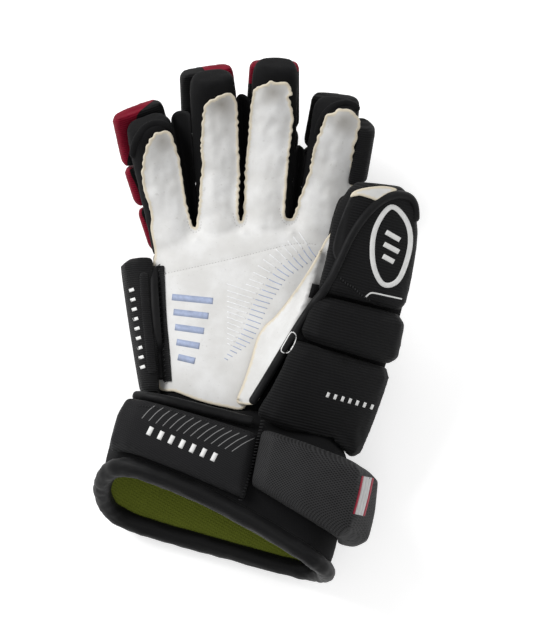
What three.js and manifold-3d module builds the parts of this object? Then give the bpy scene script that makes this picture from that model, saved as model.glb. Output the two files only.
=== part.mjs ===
// An ice hockey glove for the right hand, lying on its padded back with the palm up.
// Millimetres. +Y runs from the cuff to the fingertips, +X towards the thumb, +Z out of the palm.
// Every hollow form is a tube: a spine of frames and a rounded section told at each share of its length.
// Pads and leather are patches and plates that sit on those tubes, so they follow any change of size.
import * as THREE from 'three';
import { mergeVertices } from 'three/addons/utils/BufferGeometryUtils.js';
import Module from 'manifold-3d';

const wasm = await Module();
wasm.setup();

// Driving sizes
const SEAM_GAP = 0.4;            // clearance between two pieces that are sewn together
const SHELL_WALL = 1.8;          // knitted inner shell of hand, fingers and thumb
const LEATHER = 1.3;             // palm leather
const FLAP_THICKNESS = 2.4;      // flap along the side pad, sewn over the palm's edge
const FLAP_WIDTH = 15;
const BACK_PAD = 16;             // foam under the wrist end of the hand, down to the floor
const PALM_LENGTH = 132;         // wrist to the furthest knuckle
const WRIST_WIDTH = 108;
const KNUCKLE_WIDTH = 127;
const WRIST_HEIGHT = 50;
const KNUCKLE_HEIGHT = 32;
const KNUCKLE_RISE = 4;          // the back pad is thicker at the knuckles by this much
const KNUCKLE_DROP = 16;         // how far the knuckle line falls back at the little finger
const STALL_HEIGHT = 26;         // inner finger tube at its base
const STALL_TIP_HEIGHT = 24;
const ROLL_THICKNESS = 14;       // foam block on the back of a finger
const ROLL_EDGE = 3.5;           // length of the rounded ends of the foam blocks
const FINGER_GAP = 0.8;          // between the foam blocks of two fingers
const SIDE_PAD_THICKNESS = 23;   // block along the little-finger edge of the hand
const SIDE_PAD_HEIGHT = 42;
const INDEX_PAD_THICKNESS = 13;
const THUMB_LENGTH = 152;
const THUMB_WIDTH = 42;
const THUMB_HEIGHT = 35;
const THUMB_TIP_WIDTH = 34;
const THUMB_TIP_HEIGHT = 27;
const GUARD_THICKNESS = 15;      // foam plates on the outside of the thumb
const PIPING = 6.5;              // rolled edge under the thumb plates
const CUFF_OVERLAP = 5;          // the cuff is sewn this far over the wrist
const CUFF_LENGTH = 84;          // along the back, wrist to opening
const CUFF_CUT_BACK = 27;        // how much shorter the palm side of the cuff is
const CUFF_WIDTH = 164;
const CUFF_HEIGHT = 76;
const CUFF_WALL = 2.2;
const LINER_WALL = 1.4;
const CUFF_FRONT_PAD = 11;       // foam of the palm-side flap
const CUFF_ROLL = 7;             // roll along the flap's upper edge
const CUFF_THUMB_PAD = 20;
const CUFF_BACK_PAD = 9;
const BINDING = 8.5;             // rolled binding of the cuff opening
const CUFF_YAW = 15;             // the forearm leans this far from the hand, degrees

const KNUCKLE_LINE_REACH = 80;   // half width over which the knuckle line falls by KNUCKLE_DROP
const HAND_CENTRE_X = -15;       // centre of the knuckles
const WRIST_Y = -72;
const KNUCKLE_PEAK_Y = WRIST_Y + PALM_LENGTH;

// Fingers from the little finger to the index: widths of the foam block at the knuckle, at its widest and
// at the tip, then of the inner stall, and how the finger lies. roll turns the fingertip about its own
// length and blockEnd is the share of the length where the foam ends. front is the share of the stall's
// palm side that its leather covers, shift moves that leather round the stall and reach is its end.
const FINGERS = [
  { name: 'pinky', block: 31.5, midBlock: 39.5, tipBlock: 37, stall: 29, tipStall: 33, length: 92,
    heading: -11.5, curl: 44.4, roll: 20, blockEnd: 1.02, front: 0.84, shift: 0.015, reach: 0.92 },
  { name: 'ring', block: 31.5, midBlock: 40.5, tipBlock: 37, stall: 29.5, tipStall: 32, length: 115,
    heading: -3, curl: 44, roll: 14, blockEnd: 0.965, front: 0.84, shift: 0.015, reach: 0.87 },
  { name: 'middle', block: 32, midBlock: 37.5, tipBlock: 34, stall: 30, tipStall: 32, length: 121,
    heading: 3, curl: 45, roll: 5, blockEnd: 0.93, front: 0.86, shift: 0, reach: 0.9 },
  { name: 'index', block: 32, midBlock: 36.5, tipBlock: 33, stall: 29.5, tipStall: 31, length: 98,
    heading: 9.5, curl: 48.7, roll: 5, blockEnd: 0.94, front: 0.84, shift: 0.01, reach: 0.92 },
];
const FINGER_START_PITCH = 5;

// Foam rolls along a finger, as shares of its length up to the end of the foam.
const ROLLS = [
  { name: 'base', from: 0.03, to: 0.32, thick: 1.0 },
  { name: 'middle', from: 0.335, to: 0.61, thick: 1.0 },
  { name: 'tip', from: 0.625, to: 1.0, thick: 0.92 },
];
const INDEX_PAD = { from: 0.42, to: 0.86 };

// Foam rolls across the back of the hand, as shares of the palm's length.
const BACK_ROLLS = [
  { name: 'wrist_roll', from: 0.07, to: 0.34 },
  { name: 'back_roll', from: 0.355, to: 0.64 },
  { name: 'knuckle_roll', from: 0.655, to: 0.975 },
];

// Thumb plates along the thumb, as shares of its length. Widths and the shift across are shares of
// the thumb's width, and from dome on the plate narrows in a round end.
const GUARDS = [
  { name: 'thumb_guard_base', from: -0.07, to: 0.315, width: 2.02, endWidth: 1.86, shift: 0.05, dome: 1 },
  { name: 'thumb_guard_middle', from: 0.33, to: 0.535, width: 1.86, endWidth: 1.7, shift: 0.11, dome: 1 },
  { name: 'thumb_guard_tip', from: 0.55, to: 1.05, width: 1.62, endWidth: 1.6, shift: 0.08, dome: 0.55 },
];

// Where the leather of the thumb lands on the palm. t is the share of the thumb's length; x is a share
// of half the knuckle width, y of the palm's length, both from the middle of the wrist's end; lift is how
// far it stands off the palm, in wrist heights.
const THUMB_LEATHER = [
  { t: -0.02, x: -0.1, y: 0.1, lift: 0 },
  { t: 0.16, x: 0.07, y: 0.31, lift: 0 },
  { t: 0.38, x: 0.21, y: 0.48, lift: 0 },
  { t: 0.52, x: 0.44, y: 0.6, lift: 0.01 },
  { t: 0.68, x: 0.7, y: 0.8, lift: 0.03 },
  { t: 0.86, x: 0.85, y: 1.0, lift: 0.1 },
  { t: 1.0, x: 0.92, y: 1.13, lift: 0.32 },
];

// The palm-side edge of the cuff: cut is the share of CUFF_CUT_BACK, across goes from the little
// finger's side at 0 to the thumb's side at 1.
const CUFF_EDGE = [
  { t: 0, cut: 1.35 },
  { t: 0.3, cut: 1.15 },
  { t: 0.62, cut: 0.85 },
  { t: 0.82, cut: 0.4 },
  { t: 1, cut: 0.05 },
];

const COLOURS = {
  leather: [0xecebe7, 0.75], black: [0x17181a, 0.8], mesh: [0x1d1e20, 0.9], red: [0x7d0f22, 0.7],
  binding: [0x222325, 0.6], liner: [0x55621f, 0.95],
};

const radians = THREE.MathUtils.degToRad;
const mix = THREE.MathUtils.lerp;
const UP = new THREE.Vector3(0, 0, 1);

// A ring of a rounded section is walked by u from 0 to 1, clockwise from the middle of its palm side.
// The four corners keep the same u on every section, so rings always match.
const CORNER_U = [0.1, 0.18, 0.32, 0.4, 0.6, 0.68, 0.82, 0.9];
const RING_U = [0, 0.1, 0.14, 0.18, 0.25, 0.32, 0.36, 0.4, 0.5, 0.6, 0.64, 0.68, 0.75, 0.82, 0.86, 0.9];

// The point of a rounded rectangle at u, grown outwards by offset: x across, z towards the palm.
function sectionPoint(u, { w, h, r }, offset = 0) {
  const turn = ((u % 1) + 1) % 1;
  const round = Math.min(r, w / 2 - 0.5, h / 2 - 0.5);
  const [hw, hh, cx, cz] = [w / 2 + offset, h / 2 + offset, w / 2 - round, h / 2 - round];
  const c = CORNER_U;
  const arc = (from, to, x, z, start) => {
    const angle = radians(start - 90 * (turn - from) / (to - from));
    return [x + (round + offset) * Math.cos(angle), z + (round + offset) * Math.sin(angle)];
  };
  if (turn <= c[0]) return [cx * turn / c[0], hh];
  if (turn < c[1]) return arc(c[0], c[1], cx, cz, 90);
  if (turn <= c[2]) return [hw, mix(cz, -cz, (turn - c[1]) / (c[2] - c[1]))];
  if (turn < c[3]) return arc(c[2], c[3], cx, -cz, 0);
  if (turn <= c[4]) return [mix(cx, -cx, (turn - c[3]) / (c[4] - c[3])), -hh];
  if (turn < c[5]) return arc(c[4], c[5], -cx, -cz, -90);
  if (turn <= c[6]) return [-hw, mix(-cz, cz, (turn - c[5]) / (c[6] - c[5]))];
  if (turn < c[7]) return arc(c[6], c[7], -cx, cz, 180);
  return [-cx * (1 - turn) / (1 - c[7]), hh];
}

// Reads a table of rows at share t: every column is blended smoothly between the rows around t.
function readTable(rows, t) {
  const at = Math.max(1, rows.findIndex((row) => row.t >= t));
  const [a, b] = t > rows.at(-1).t ? rows.slice(-2) : [rows[at - 1], rows[at]];
  const share = THREE.MathUtils.clamp((t - a.t) / (b.t - a.t), 0, 1);
  return Object.fromEntries(Object.keys(a).map((key) => [key, mix(a[key], b[key], share)]));
}

// A frame on a spine: p is the point, t the way along, n towards the palm and c across.
function makeFrame(p, t, normal, rollDegrees = 0) {
  const c = new THREE.Vector3().crossVectors(t, normal).normalize();
  const n = new THREE.Vector3().crossVectors(c, t).normalize();
  c.applyAxisAngle(t, radians(rollDegrees));
  n.applyAxisAngle(t, radians(rollDegrees));
  return { p, t: t.clone(), n, c };
}

// A way that heads so many degrees from +Y towards +X and rises by a pitch.
const way = (heading, pitch) => new THREE.Vector3(Math.sin(radians(heading)) * Math.cos(radians(pitch)),
  Math.cos(radians(heading)) * Math.cos(radians(pitch)), Math.sin(radians(pitch)));

// A spine that bends evenly from one way to another, so it is part of a circle.
function arcSpine({ base, from, to, length, roll = 0, normal = UP }) {
  const bend = from.angleTo(to) / length;
  const side = to.clone().addScaledVector(from, -from.dot(to)).normalize();
  return (s) => {
    const angle = bend * s;
    const p = base.clone().addScaledVector(from, Math.sin(angle) / bend)
      .addScaledVector(side, (1 - Math.cos(angle)) / bend);
    const t = from.clone().multiplyScalar(Math.cos(angle)).addScaledVector(side, Math.sin(angle));
    return makeFrame(p, t, normal, roll * THREE.MathUtils.clamp(s / length, 0, 1));
  };
}

const inFrame = (frame, x, z, along = 0) => frame.p.clone()
  .addScaledVector(frame.c, x).addScaledVector(frame.n, z).addScaledVector(frame.t, along);

// Meshes: lists of points and triangles that become manifold solids
class Builder {
  constructor() {
    this.points = [];
    this.faces = [];
  }
  add(point) {
    return this.points.push(point.x, point.y, point.z) / 3 - 1;
  }
  quad(a, b, c, d) {
    this.faces.push(a, b, c, a, c, d);
  }
  // Joins two rings of the same number of points; closed rings wrap round.
  bridge(a, b, closed = true) {
    const last = closed ? a.length : a.length - 1;
    for (let i = 0; i < last; i++) {
      const j = (i + 1) % a.length;
      this.quad(a[i], a[j], b[j], b[i]);
    }
  }
  fan(ring, point, flip) {
    const hub = this.add(point);
    ring.forEach((v, i) => {
      const w = ring[(i + 1) % ring.length];
      this.faces.push(...(flip ? [w, v, hub] : [v, w, hub]));
    });
  }
  geometry() {
    const raw = new THREE.BufferGeometry();
    raw.setAttribute('position', new THREE.Float32BufferAttribute(this.points, 3));
    raw.setIndex(this.faces);
    return raw;
  }
}

// A closed geometry as a manifold solid, its faces turned outwards.
function solidOf(geometry) {
  const merged = mergeVertices(geometry, 1e-3);
  const make = (triangles) => new wasm.Manifold(new wasm.Mesh({
    numProp: 3, vertProperties: merged.attributes.position.array, triVerts: triangles,
  }));
  const triangles = new Uint32Array(merged.index.array);
  const solid = make(triangles);
  return solid.volume() >= 0 ? solid : make(triangles.reverse());
}

function geometryOf(solid) {
  const { numProp, vertProperties, triVerts } = solid.getMesh();
  const position = new Float32Array(vertProperties.length / numProp * 3);
  for (let i = 0; i < position.length / 3; i++) {
    position.set(vertProperties.subarray(i * numProp, i * numProp + 3), i * 3);
  }
  const geometry = new THREE.BufferGeometry();
  geometry.setAttribute('position', new THREE.BufferAttribute(position, 3));
  geometry.setIndex(new THREE.BufferAttribute(new Uint32Array(triVerts), 1));
  return geometry;
}

const centreOf = (points) => points.reduce((sum, p) => sum.add(p), new THREE.Vector3())
  .divideScalar(points.length);

// A solid through a list of rings of points, with flat ends; a loop of rings has no ends.
function ringSolid(rings, { loop = false } = {}) {
  const b = new Builder();
  const ids = rings.map((ring) => ring.map((p) => b.add(p)));
  for (let i = 1; i < ids.length; i++) b.bridge(ids[i - 1], ids[i]);
  if (loop) b.bridge(ids.at(-1), ids[0]);
  else {
    b.fan(ids[0], centreOf(rings[0]), true);
    b.fan(ids.at(-1), centreOf(rings.at(-1)), false);
  }
  return solidOf(b.geometry());
}

// A hollow wall between an outer and an inner list of rings, open at the first ring.
// With closed true the far end is shut by a cap on each side of the wall.
function wallSolid(outer, inner, closed) {
  const b = new Builder();
  const out = outer.map((ring) => ring.map((p) => b.add(p)));
  const within = inner.map((ring) => ring.map((p) => b.add(p)));
  for (let i = 1; i < out.length; i++) b.bridge(out[i - 1], out[i]);
  for (let i = 1; i < within.length; i++) b.bridge(within[i], within[i - 1]);
  b.bridge(within[0], out[0]);
  if (closed) {
    b.fan(out.at(-1), centreOf(outer.at(-1)), false);
    b.fan(within.at(-1), centreOf(inner.at(-1)), true);
  } else b.bridge(out.at(-1), within.at(-1));
  return solidOf(b.geometry());
}

// A sheet over a grid of shares a along and b across: low(a, b) and high(a, b) give its two faces.
function sheetSolid(along, across, low, high) {
  const b = new Builder();
  const grid = (at) => along.map((i) => across.map((j) => b.add(at(i, j))));
  const [under, over] = [grid(low), grid(high)];
  const [rows, columns] = [along.length - 1, across.length - 1];
  for (let i = 0; i < rows; i++) {
    b.bridge(over[i], over[i + 1], false);
    b.bridge(under[i + 1], under[i], false);
    b.quad(under[i][0], over[i][0], over[i + 1][0], under[i + 1][0]);
    b.quad(over[i][columns], under[i][columns], under[i + 1][columns], over[i + 1][columns]);
  }
  for (let j = 0; j < columns; j++) {
    b.quad(over[0][j], under[0][j], under[0][j + 1], over[0][j + 1]);
    b.quad(under[rows][j], over[rows][j], over[rows][j + 1], under[rows][j + 1]);
  }
  return solidOf(b.geometry());
}
const evenly = (count) => Array.from({ length: count + 1 }, (_, i) => i / count);

// The hand: a straight tube whose section grows from the wrist to the knuckles
const HAND_TOP = BACK_PAD + WRIST_HEIGHT;
const KNUCKLE_TOP = BACK_PAD + KNUCKLE_RISE + KNUCKLE_HEIGHT;
const HAND_ROWS = [
  { t: 0, x: HAND_CENTRE_X - 3, w: WRIST_WIDTH, h: WRIST_HEIGHT, top: HAND_TOP, r: 18 },
  { t: 0.3, x: HAND_CENTRE_X, w: mix(WRIST_WIDTH, KNUCKLE_WIDTH, 0.36), h: WRIST_HEIGHT * 0.96,
    top: mix(HAND_TOP, KNUCKLE_TOP, 0.08), r: 17 },
  { t: 0.64, x: HAND_CENTRE_X, w: mix(WRIST_WIDTH, KNUCKLE_WIDTH, 0.7),
    h: mix(WRIST_HEIGHT, KNUCKLE_HEIGHT, 0.45), top: mix(HAND_TOP, KNUCKLE_TOP, 0.43), r: 15 },
  { t: 1, x: HAND_CENTRE_X, w: KNUCKLE_WIDTH, h: KNUCKLE_HEIGHT, top: KNUCKLE_TOP, r: 12 },
];
const HAND_SHARES = [0, 0.15, 0.3, 0.47, 0.64, 0.82, 1];
const knuckleLine = (x) => -KNUCKLE_DROP * (x / KNUCKLE_LINE_REACH) ** 2;

function handFrame(t) {
  const row = readTable(HAND_ROWS, t);
  const p = new THREE.Vector3(row.x, WRIST_Y + PALM_LENGTH * t, row.top - row.h / 2);
  return { ...makeFrame(p, new THREE.Vector3(0, 1, 0), UP), row, bend: t ** 3 };
}
// A point of the hand's section at share t and walk u, with extra length past the share.
function handPoint(t, u, offset = 0, extra = 0) {
  const frame = handFrame(t);
  const point = inFrame(frame, ...sectionPoint(u, frame.row, offset), extra);
  point.y += frame.bend * knuckleLine(point.x);
  return point;
}
const handRings = (offset, reach = 0) => HAND_SHARES.map((t, i) => {
  const extra = i === 0 ? -reach : i === HAND_SHARES.length - 1 ? reach : 0;
  return RING_U.map((u) => handPoint(t, u, offset, extra));
});

// Fingers: their foam blocks stand side by side at the knuckles
function layOutFingers() {
  const total = FINGERS.reduce((sum, f) => sum + f.block, 0) + FINGER_GAP * (FINGERS.length - 1);
  let x = HAND_CENTRE_X - total / 2;
  return FINGERS.map((finger) => {
    const centre = x + finger.block / 2;
    x += finger.block + FINGER_GAP;
    const knuckle = KNUCKLE_PEAK_Y + knuckleLine(centre);
    const base = new THREE.Vector3(centre, knuckle, KNUCKLE_TOP - STALL_HEIGHT / 2);
    const spine = arcSpine({ base, from: way(finger.heading, FINGER_START_PITCH),
      to: way(finger.heading, finger.curl), length: finger.length, roll: finger.roll });
    return { ...finger, spine, base };
  });
}
const fingers = layOutFingers();

const STALL_SHARES = [0, 0.1, 0.22, 0.35, 0.48, 0.61, 0.74, 0.86];
const TIP_SHARES = [0.94, 0.985, 1];

// How a tube narrows towards its closed tip.
const THUMB_TIP = [
  { t: 0.86, size: 1 },
  { t: 0.94, size: 0.93 },
  { t: 0.985, size: 0.76 },
  { t: 1, size: 0.5 },
];
const FINGER_TIP = [
  { t: 0.86, size: 1 },
  { t: 0.94, size: 0.97 },
  { t: 0.985, size: 0.86 },
  { t: 1, size: 0.68 },
];

function stallSection(finger, t) {
  const { size } = readTable(FINGER_TIP, t);
  const w = mix(finger.stall, finger.tipStall, t) * size;
  const h = mix(STALL_HEIGHT, STALL_TIP_HEIGHT, t) * size;
  return { w, h, r: Math.min(w, h) * 0.38 };
}
const knuckleEdge = (x) => KNUCKLE_PEAK_Y + knuckleLine(x) + SEAM_GAP;

// The rings of a finger's tube; the first lies on the knuckle line.
function stallRings(finger, offset, tipInset, back = 0) {
  const length = finger.length - tipInset;
  return [...STALL_SHARES, ...TIP_SHARES].map((share, i) => {
    const frame = finger.spine(length * share);
    const section = stallSection(finger, share);
    return RING_U.map((u) => {
      const point = inFrame(frame, ...sectionPoint(u, section, offset));
      if (i > 0) return point;
      const short = knuckleEdge(point.x) - back - point.y;
      return point.addScaledVector(frame.t, short / frame.t.y);
    });
  });
}
const stallWall = (finger) => wallSolid(
  stallRings(finger, 0, 0), stallRings(finger, -SHELL_WALL, SHELL_WALL), true);

// A foam plate's section: flat inner face at 0, chamfered outer face, as points [across, outwards].
function plateSection(width, thick, { chamfer = 0.16, drop = 0.42, crown = 0.07 }) {
  const half = width / 2;
  const right = [[half * 0.94, 0], [half, thick * 0.2], [half, thick * (1 - drop)],
    [half - width * chamfer * 0.45, thick * (1 - drop * 0.3)],
    [half - width * chamfer, thick * (1 - crown)], [half * 0.33, thick]];
  return [...right, ...right.map(([x, z]) => [-x, z]).reverse()];
}

// A plate along a spine from one place to another, with rounded ends as long as edge.
// place(s, x, out) turns a point of its section into a point in space.
function plate({ from, to, steps = 3, edge, width, thick, place, look = {}, endLook = 0.62 }) {
  const rings = [];
  for (let i = 0; i <= steps + 2; i++) {
    const end = i === 0 || i === steps + 2;
    const s = i === 0 ? from : end ? to : mix(from + edge, to - edge, (i - 1) / steps);
    const share = (s - from) / (to - from);
    const w = width(share) * (end ? 1 - 0.9 * edge / (to - from) : 1);
    const d = thick(share) * (end ? endLook : 1);
    rings.push(plateSection(w, d, look).map(([x, out]) => place(s, x, out)));
  }
  return ringSolid(rings);
}

// Width of a finger's foam at share t: it swells up to its widest place and narrows to the tip.
const WIDEST = 0.62;
function blockWidth({ block, midBlock, tipBlock }, t) {
  return t < WIDEST ? mix(block, midBlock, t / WIDEST) : mix(midBlock, tipBlock, (t - WIDEST) / (1 - WIDEST));
}
function fingerRoll(finger, roll) {
  const [from, to] = [roll.from, roll.to].map((share) => finger.length * finger.blockEnd * share);
  const seat = (s) => mix(STALL_HEIGHT, STALL_TIP_HEIGHT, s / finger.length) / 2 + SEAM_GAP;
  return plate({
    from, to, edge: ROLL_EDGE,
    width: (share) => blockWidth(finger, mix(roll.from, roll.to, share)),
    thick: () => ROLL_THICKNESS * roll.thick,
    place: (s, x, out) => inFrame(finger.spine(s), x, -seat(s) - out),
    look: { chamfer: 0.17, drop: 0.45, crown: 0.06 }, endLook: 0.8,
  });
}

// The pad on the thumb's side of the index finger.
function indexSidePad(finger) {
  const seat = (s) => stallSection(finger, s / finger.length).w / 2 + SEAM_GAP;
  return plate({
    from: finger.length * INDEX_PAD.from, to: finger.length * INDEX_PAD.to, edge: ROLL_EDGE,
    width: () => STALL_HEIGHT * 0.8, thick: () => INDEX_PAD_THICKNESS,
    place: (s, z, out) => inFrame(finger.spine(s), seat(s) + out, z), look: { chamfer: 0.22, drop: 0.6 },
  });
}

// A roll across the back of the hand, its outer face flat on the floor.
function backRoll({ from, to }) {
  const underside = (t) => handFrame(t).row.top - handFrame(t).row.h - SEAM_GAP;
  return plate({
    from, to, edge: ROLL_EDGE / PALM_LENGTH,
    width: (share) => readTable(HAND_ROWS, mix(from, to, share)).w * 0.96,
    thick: (share) => underside(mix(from, to, share)),
    place: (t, x, out) => {
      const { row, p, bend } = handFrame(t);
      return new THREE.Vector3(row.x + x, p.y + bend * knuckleLine(row.x + x), underside(t) - out);
    },
    look: { chamfer: 0.09, drop: 0.5, crown: 0 }, endLook: 0.7,
  });
}

// Levels of the leather above the hand: its own underside, its top, and what is laid over it.
const LEATHER_LIFT = SEAM_GAP * 1.4;
const LEATHER_TOP = LEATHER_LIFT + LEATHER;
const OVERLAY = LEATHER_TOP + SEAM_GAP;

// The block along the little-finger edge of the hand, and the flap over its joint with the palm
const SIDE_PAD = { from: 0.13, to: 0.85 };
function sidePad() {
  return plate({
    ...SIDE_PAD, edge: 4 / PALM_LENGTH,
    width: () => SIDE_PAD_HEIGHT, thick: (share) => SIDE_PAD_THICKNESS * mix(0.55, 1, share),
    place: (t, along, out) => {
      const { row, p } = handFrame(t);
      const middle = row.top + LEATHER_TOP - SIDE_PAD_HEIGHT / 2;
      return new THREE.Vector3(row.x - row.w / 2 - SEAM_GAP - out, p.y, middle + along);
    },
    look: { chamfer: 0.24, drop: 0.5, crown: 0.05 }, endLook: 0.75,
  });
}

// A patch on the hand over listed shares along and walks round, between two offsets.
const handPatch = (along, round, lift, thick) => sheetSolid(along, round,
  (t, u) => handPoint(t, u, lift), (t, u) => handPoint(t, u, lift + thick));

// The flap lies flat over the joint of the side pad and the palm, from the pad inwards.
const FLAP = { from: 0.14, to: 0.84, overPad: 0.45 };
const sideFlap = () => sheetSolid(evenly(4), [0, 0.5, 1], (a, b) => flapPoint(a, b, 0),
  (a, b) => flapPoint(a, b, FLAP_THICKNESS));
function flapPoint(a, b, lift) {
  const { row, p } = handFrame(mix(FLAP.from, FLAP.to, a));
  const x = row.x - row.w / 2 + FLAP_WIDTH * (b - FLAP.overPad);
  return new THREE.Vector3(x, p.y, row.top + OVERLAY + lift);
}

const PALM_ROUND = [-0.15, -0.14, -0.1, 0, 0.1, 0.13];
const PALM_ALONG = [0.1, 0.15, 0.3, 0.47, 0.64, 0.82, 0.995];

// The leather on the front of a finger: a strip with a round end that starts on the palm's own leather.
const FRONT_START = 3;
const PALM_SLOPE = 0.25;         // the palm rises at least this much towards the wrist
const FRONT_U = 0.15;
function fingerFront(finger) {
  const end = finger.length * finger.reach;
  const round = finger.stall * 0.45;
  const strip = (a, b, offset) => {
    const s = mix(-FRONT_START, end, a);
    const over = Math.max(0, s - end + round) / round;
    const narrow = Math.sqrt(1 - 0.94 * over ** 2);
    const u = finger.shift * Math.min(1, 2 * a) + FRONT_U * finger.front * narrow * b;
    const share = Math.max(s, 0) / finger.length;
    const section = stallSection(finger, share);
    const point = inFrame(finger.spine(Math.max(s, 0)), ...sectionPoint(u, section, offset));
    if (s <= 0) point.y = knuckleEdge(point.x) + s;
    const flat = point.clone().setZ(KNUCKLE_TOP + offset + PALM_SLOPE * Math.max(0, -s));
    return flat.lerp(point, THREE.MathUtils.smoothstep(s, 0, finger.stall * 0.4));
  };
  const rows = [0, 0.03, 0.08, 0.14, 0.22, 0.33, 0.45, 0.57, 0.69, 0.8, 0.88, 0.94, 0.98, 1];
  const columns = [-1, -0.83, -0.68, 0, 0.68, 0.83, 1];
  return sheetSolid(rows, columns, (a, b) => strip(a, b, LEATHER_LIFT), (a, b) => strip(a, b, LEATHER_TOP));
}

// The thumb: a tube that leaves the hand beside the wrist and leans out of the palm
const THUMB_SINK = 14;           // the thumb's middle line starts this far under the palm
const thumbBase = new THREE.Vector3(
  HAND_CENTRE_X + WRIST_WIDTH * 0.34, WRIST_Y + PALM_LENGTH * 0.05, HAND_TOP - THUMB_SINK);
const THUMB_OUT = new THREE.Vector3(0.5, -0.12, 0.86).normalize();
const thumbSpine = arcSpine({ base: thumbBase, from: way(27, 15), to: way(5, 9), length: THUMB_LENGTH,
  normal: THUMB_OUT });
const THUMB_SHARES = [0, 0.14, 0.28, 0.42, 0.56, 0.7, 0.84];
function thumbSection(t) {
  const { size } = readTable(THUMB_TIP, t);
  const w = mix(THUMB_WIDTH, THUMB_TIP_WIDTH, t) * size;
  const h = mix(THUMB_HEIGHT, THUMB_TIP_HEIGHT, t) * size;
  return { w, h, r: Math.min(w, h) * 0.42 };
}
function thumbRings(offset, tipInset, back = 0) {
  const length = THUMB_LENGTH - tipInset;
  return [...THUMB_SHARES, ...TIP_SHARES].map((share, i) => {
    const frame = thumbSpine(length * share);
    const section = thumbSection(share);
    return RING_U.map((u) => inFrame(frame, ...sectionPoint(u, section, offset), i === 0 ? -back : 0));
  });
}

const thumbSeat = (s) => mix(THUMB_HEIGHT, THUMB_TIP_HEIGHT, s / THUMB_LENGTH) / 2 + SEAM_GAP;
function thumbGuard(guard) {
  const dome = (share) => Math.sqrt(1 - (Math.max(0, share - guard.dome) / (1.08 - guard.dome)) ** 2);
  return plate({
    from: THUMB_LENGTH * guard.from, to: THUMB_LENGTH * guard.to, steps: guard.dome < 1 ? 6 : 3, edge: 5,
    width: (share) => THUMB_WIDTH * mix(guard.width, guard.endWidth, share) * dome(share),
    thick: () => GUARD_THICKNESS,
    place: (s, x, out) => inFrame(thumbSpine(s), x + THUMB_WIDTH * guard.shift, thumbSeat(s) + out),
    look: { chamfer: 0.2, drop: 0.6, crown: 0.08 }, endLook: 0.7,
  });
}

// The line under the left edge of the plates where the rolled edge lies. inset is how far in it lies.
const PIPING_ROWS = GUARDS.flatMap((guard) => [
  { t: guard.from + 0.02, x: guard.shift - guard.width / 2 },
  {
    t: guard.dome < 1 ? mix(guard.from, guard.to, guard.dome) : guard.to - 0.02,
    x: guard.shift - guard.endWidth / 2,
  },
]);
PIPING_ROWS.push({ t: 0.98, x: -0.42 });
function pipingPoint(t, inset, down) {
  const { x } = readTable(PIPING_ROWS, THREE.MathUtils.clamp(t, PIPING_ROWS[0].t, 0.98));
  const s = THUMB_LENGTH * t;
  return inFrame(thumbSpine(s), THUMB_WIDTH * x + inset, thumbSeat(s) - down);
}

// A round cord of leather or cloth through a list of points.
function rolledEdge(points, diameter, sides = 7) {
  const curve = new THREE.CatmullRomCurve3(points, false, 'centripetal');
  return ringSolid(evenly(Math.round(points.length * 1.6)).map((a) => {
    const frame = makeFrame(curve.getPointAt(a), curve.getTangentAt(a), UP);
    return Array.from({ length: sides }, (_, k) => {
      const angle = 2 * Math.PI * k / sides;
      return inFrame(frame, diameter / 2 * Math.sin(angle), diameter / 2 * Math.cos(angle));
    });
  }));
}
const thumbPiping = () => rolledEdge(evenly(12).map((a) =>
  pipingPoint(mix(GUARDS[0].from + 0.03, 0.97, a), PIPING * 0.3, PIPING / 2 + SEAM_GAP)), PIPING);

// The leather of the thumb: it hangs from the rolled edge and lands on the palm. Its outer face looks
// up and away from the thumb.
const LEATHER_FACE = new THREE.Vector3(-0.6, -0.1, 0.8);
function thumbLeather() {
  const hang = (t) => pipingPoint(t, PIPING * 0.2, PIPING + 2 * SEAM_GAP + LEATHER);
  const landing = (t) => {
    const { x, y, lift } = readTable(THUMB_LEATHER, t);
    const top = readTable(HAND_ROWS, y).top + OVERLAY + SEAM_GAP + lift * WRIST_HEIGHT;
    return new THREE.Vector3(HAND_CENTRE_X + x * KNUCKLE_WIDTH / 2, WRIST_Y + y * PALM_LENGTH, top);
  };
  const sheet = (t, b, lift) => {
    const [a, c] = [hang(t), landing(t)];
    const slope = c.clone().sub(a).normalize();
    const outwards = LEATHER_FACE.clone().addScaledVector(slope, -slope.dot(LEATHER_FACE)).normalize();
    const sag = Math.sin(Math.PI * b) * 0.12 * a.distanceTo(c);
    return a.lerp(c, b).add(new THREE.Vector3(-0.35, 0, -1).normalize().multiplyScalar(sag * 0.5))
      .addScaledVector(outwards, lift);
  };
  return sheetSolid(THUMB_LEATHER.map((row) => row.t), evenly(5), (t, b) => sheet(t, b, 0),
    (t, b) => sheet(t, b, LEATHER));
}

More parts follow.
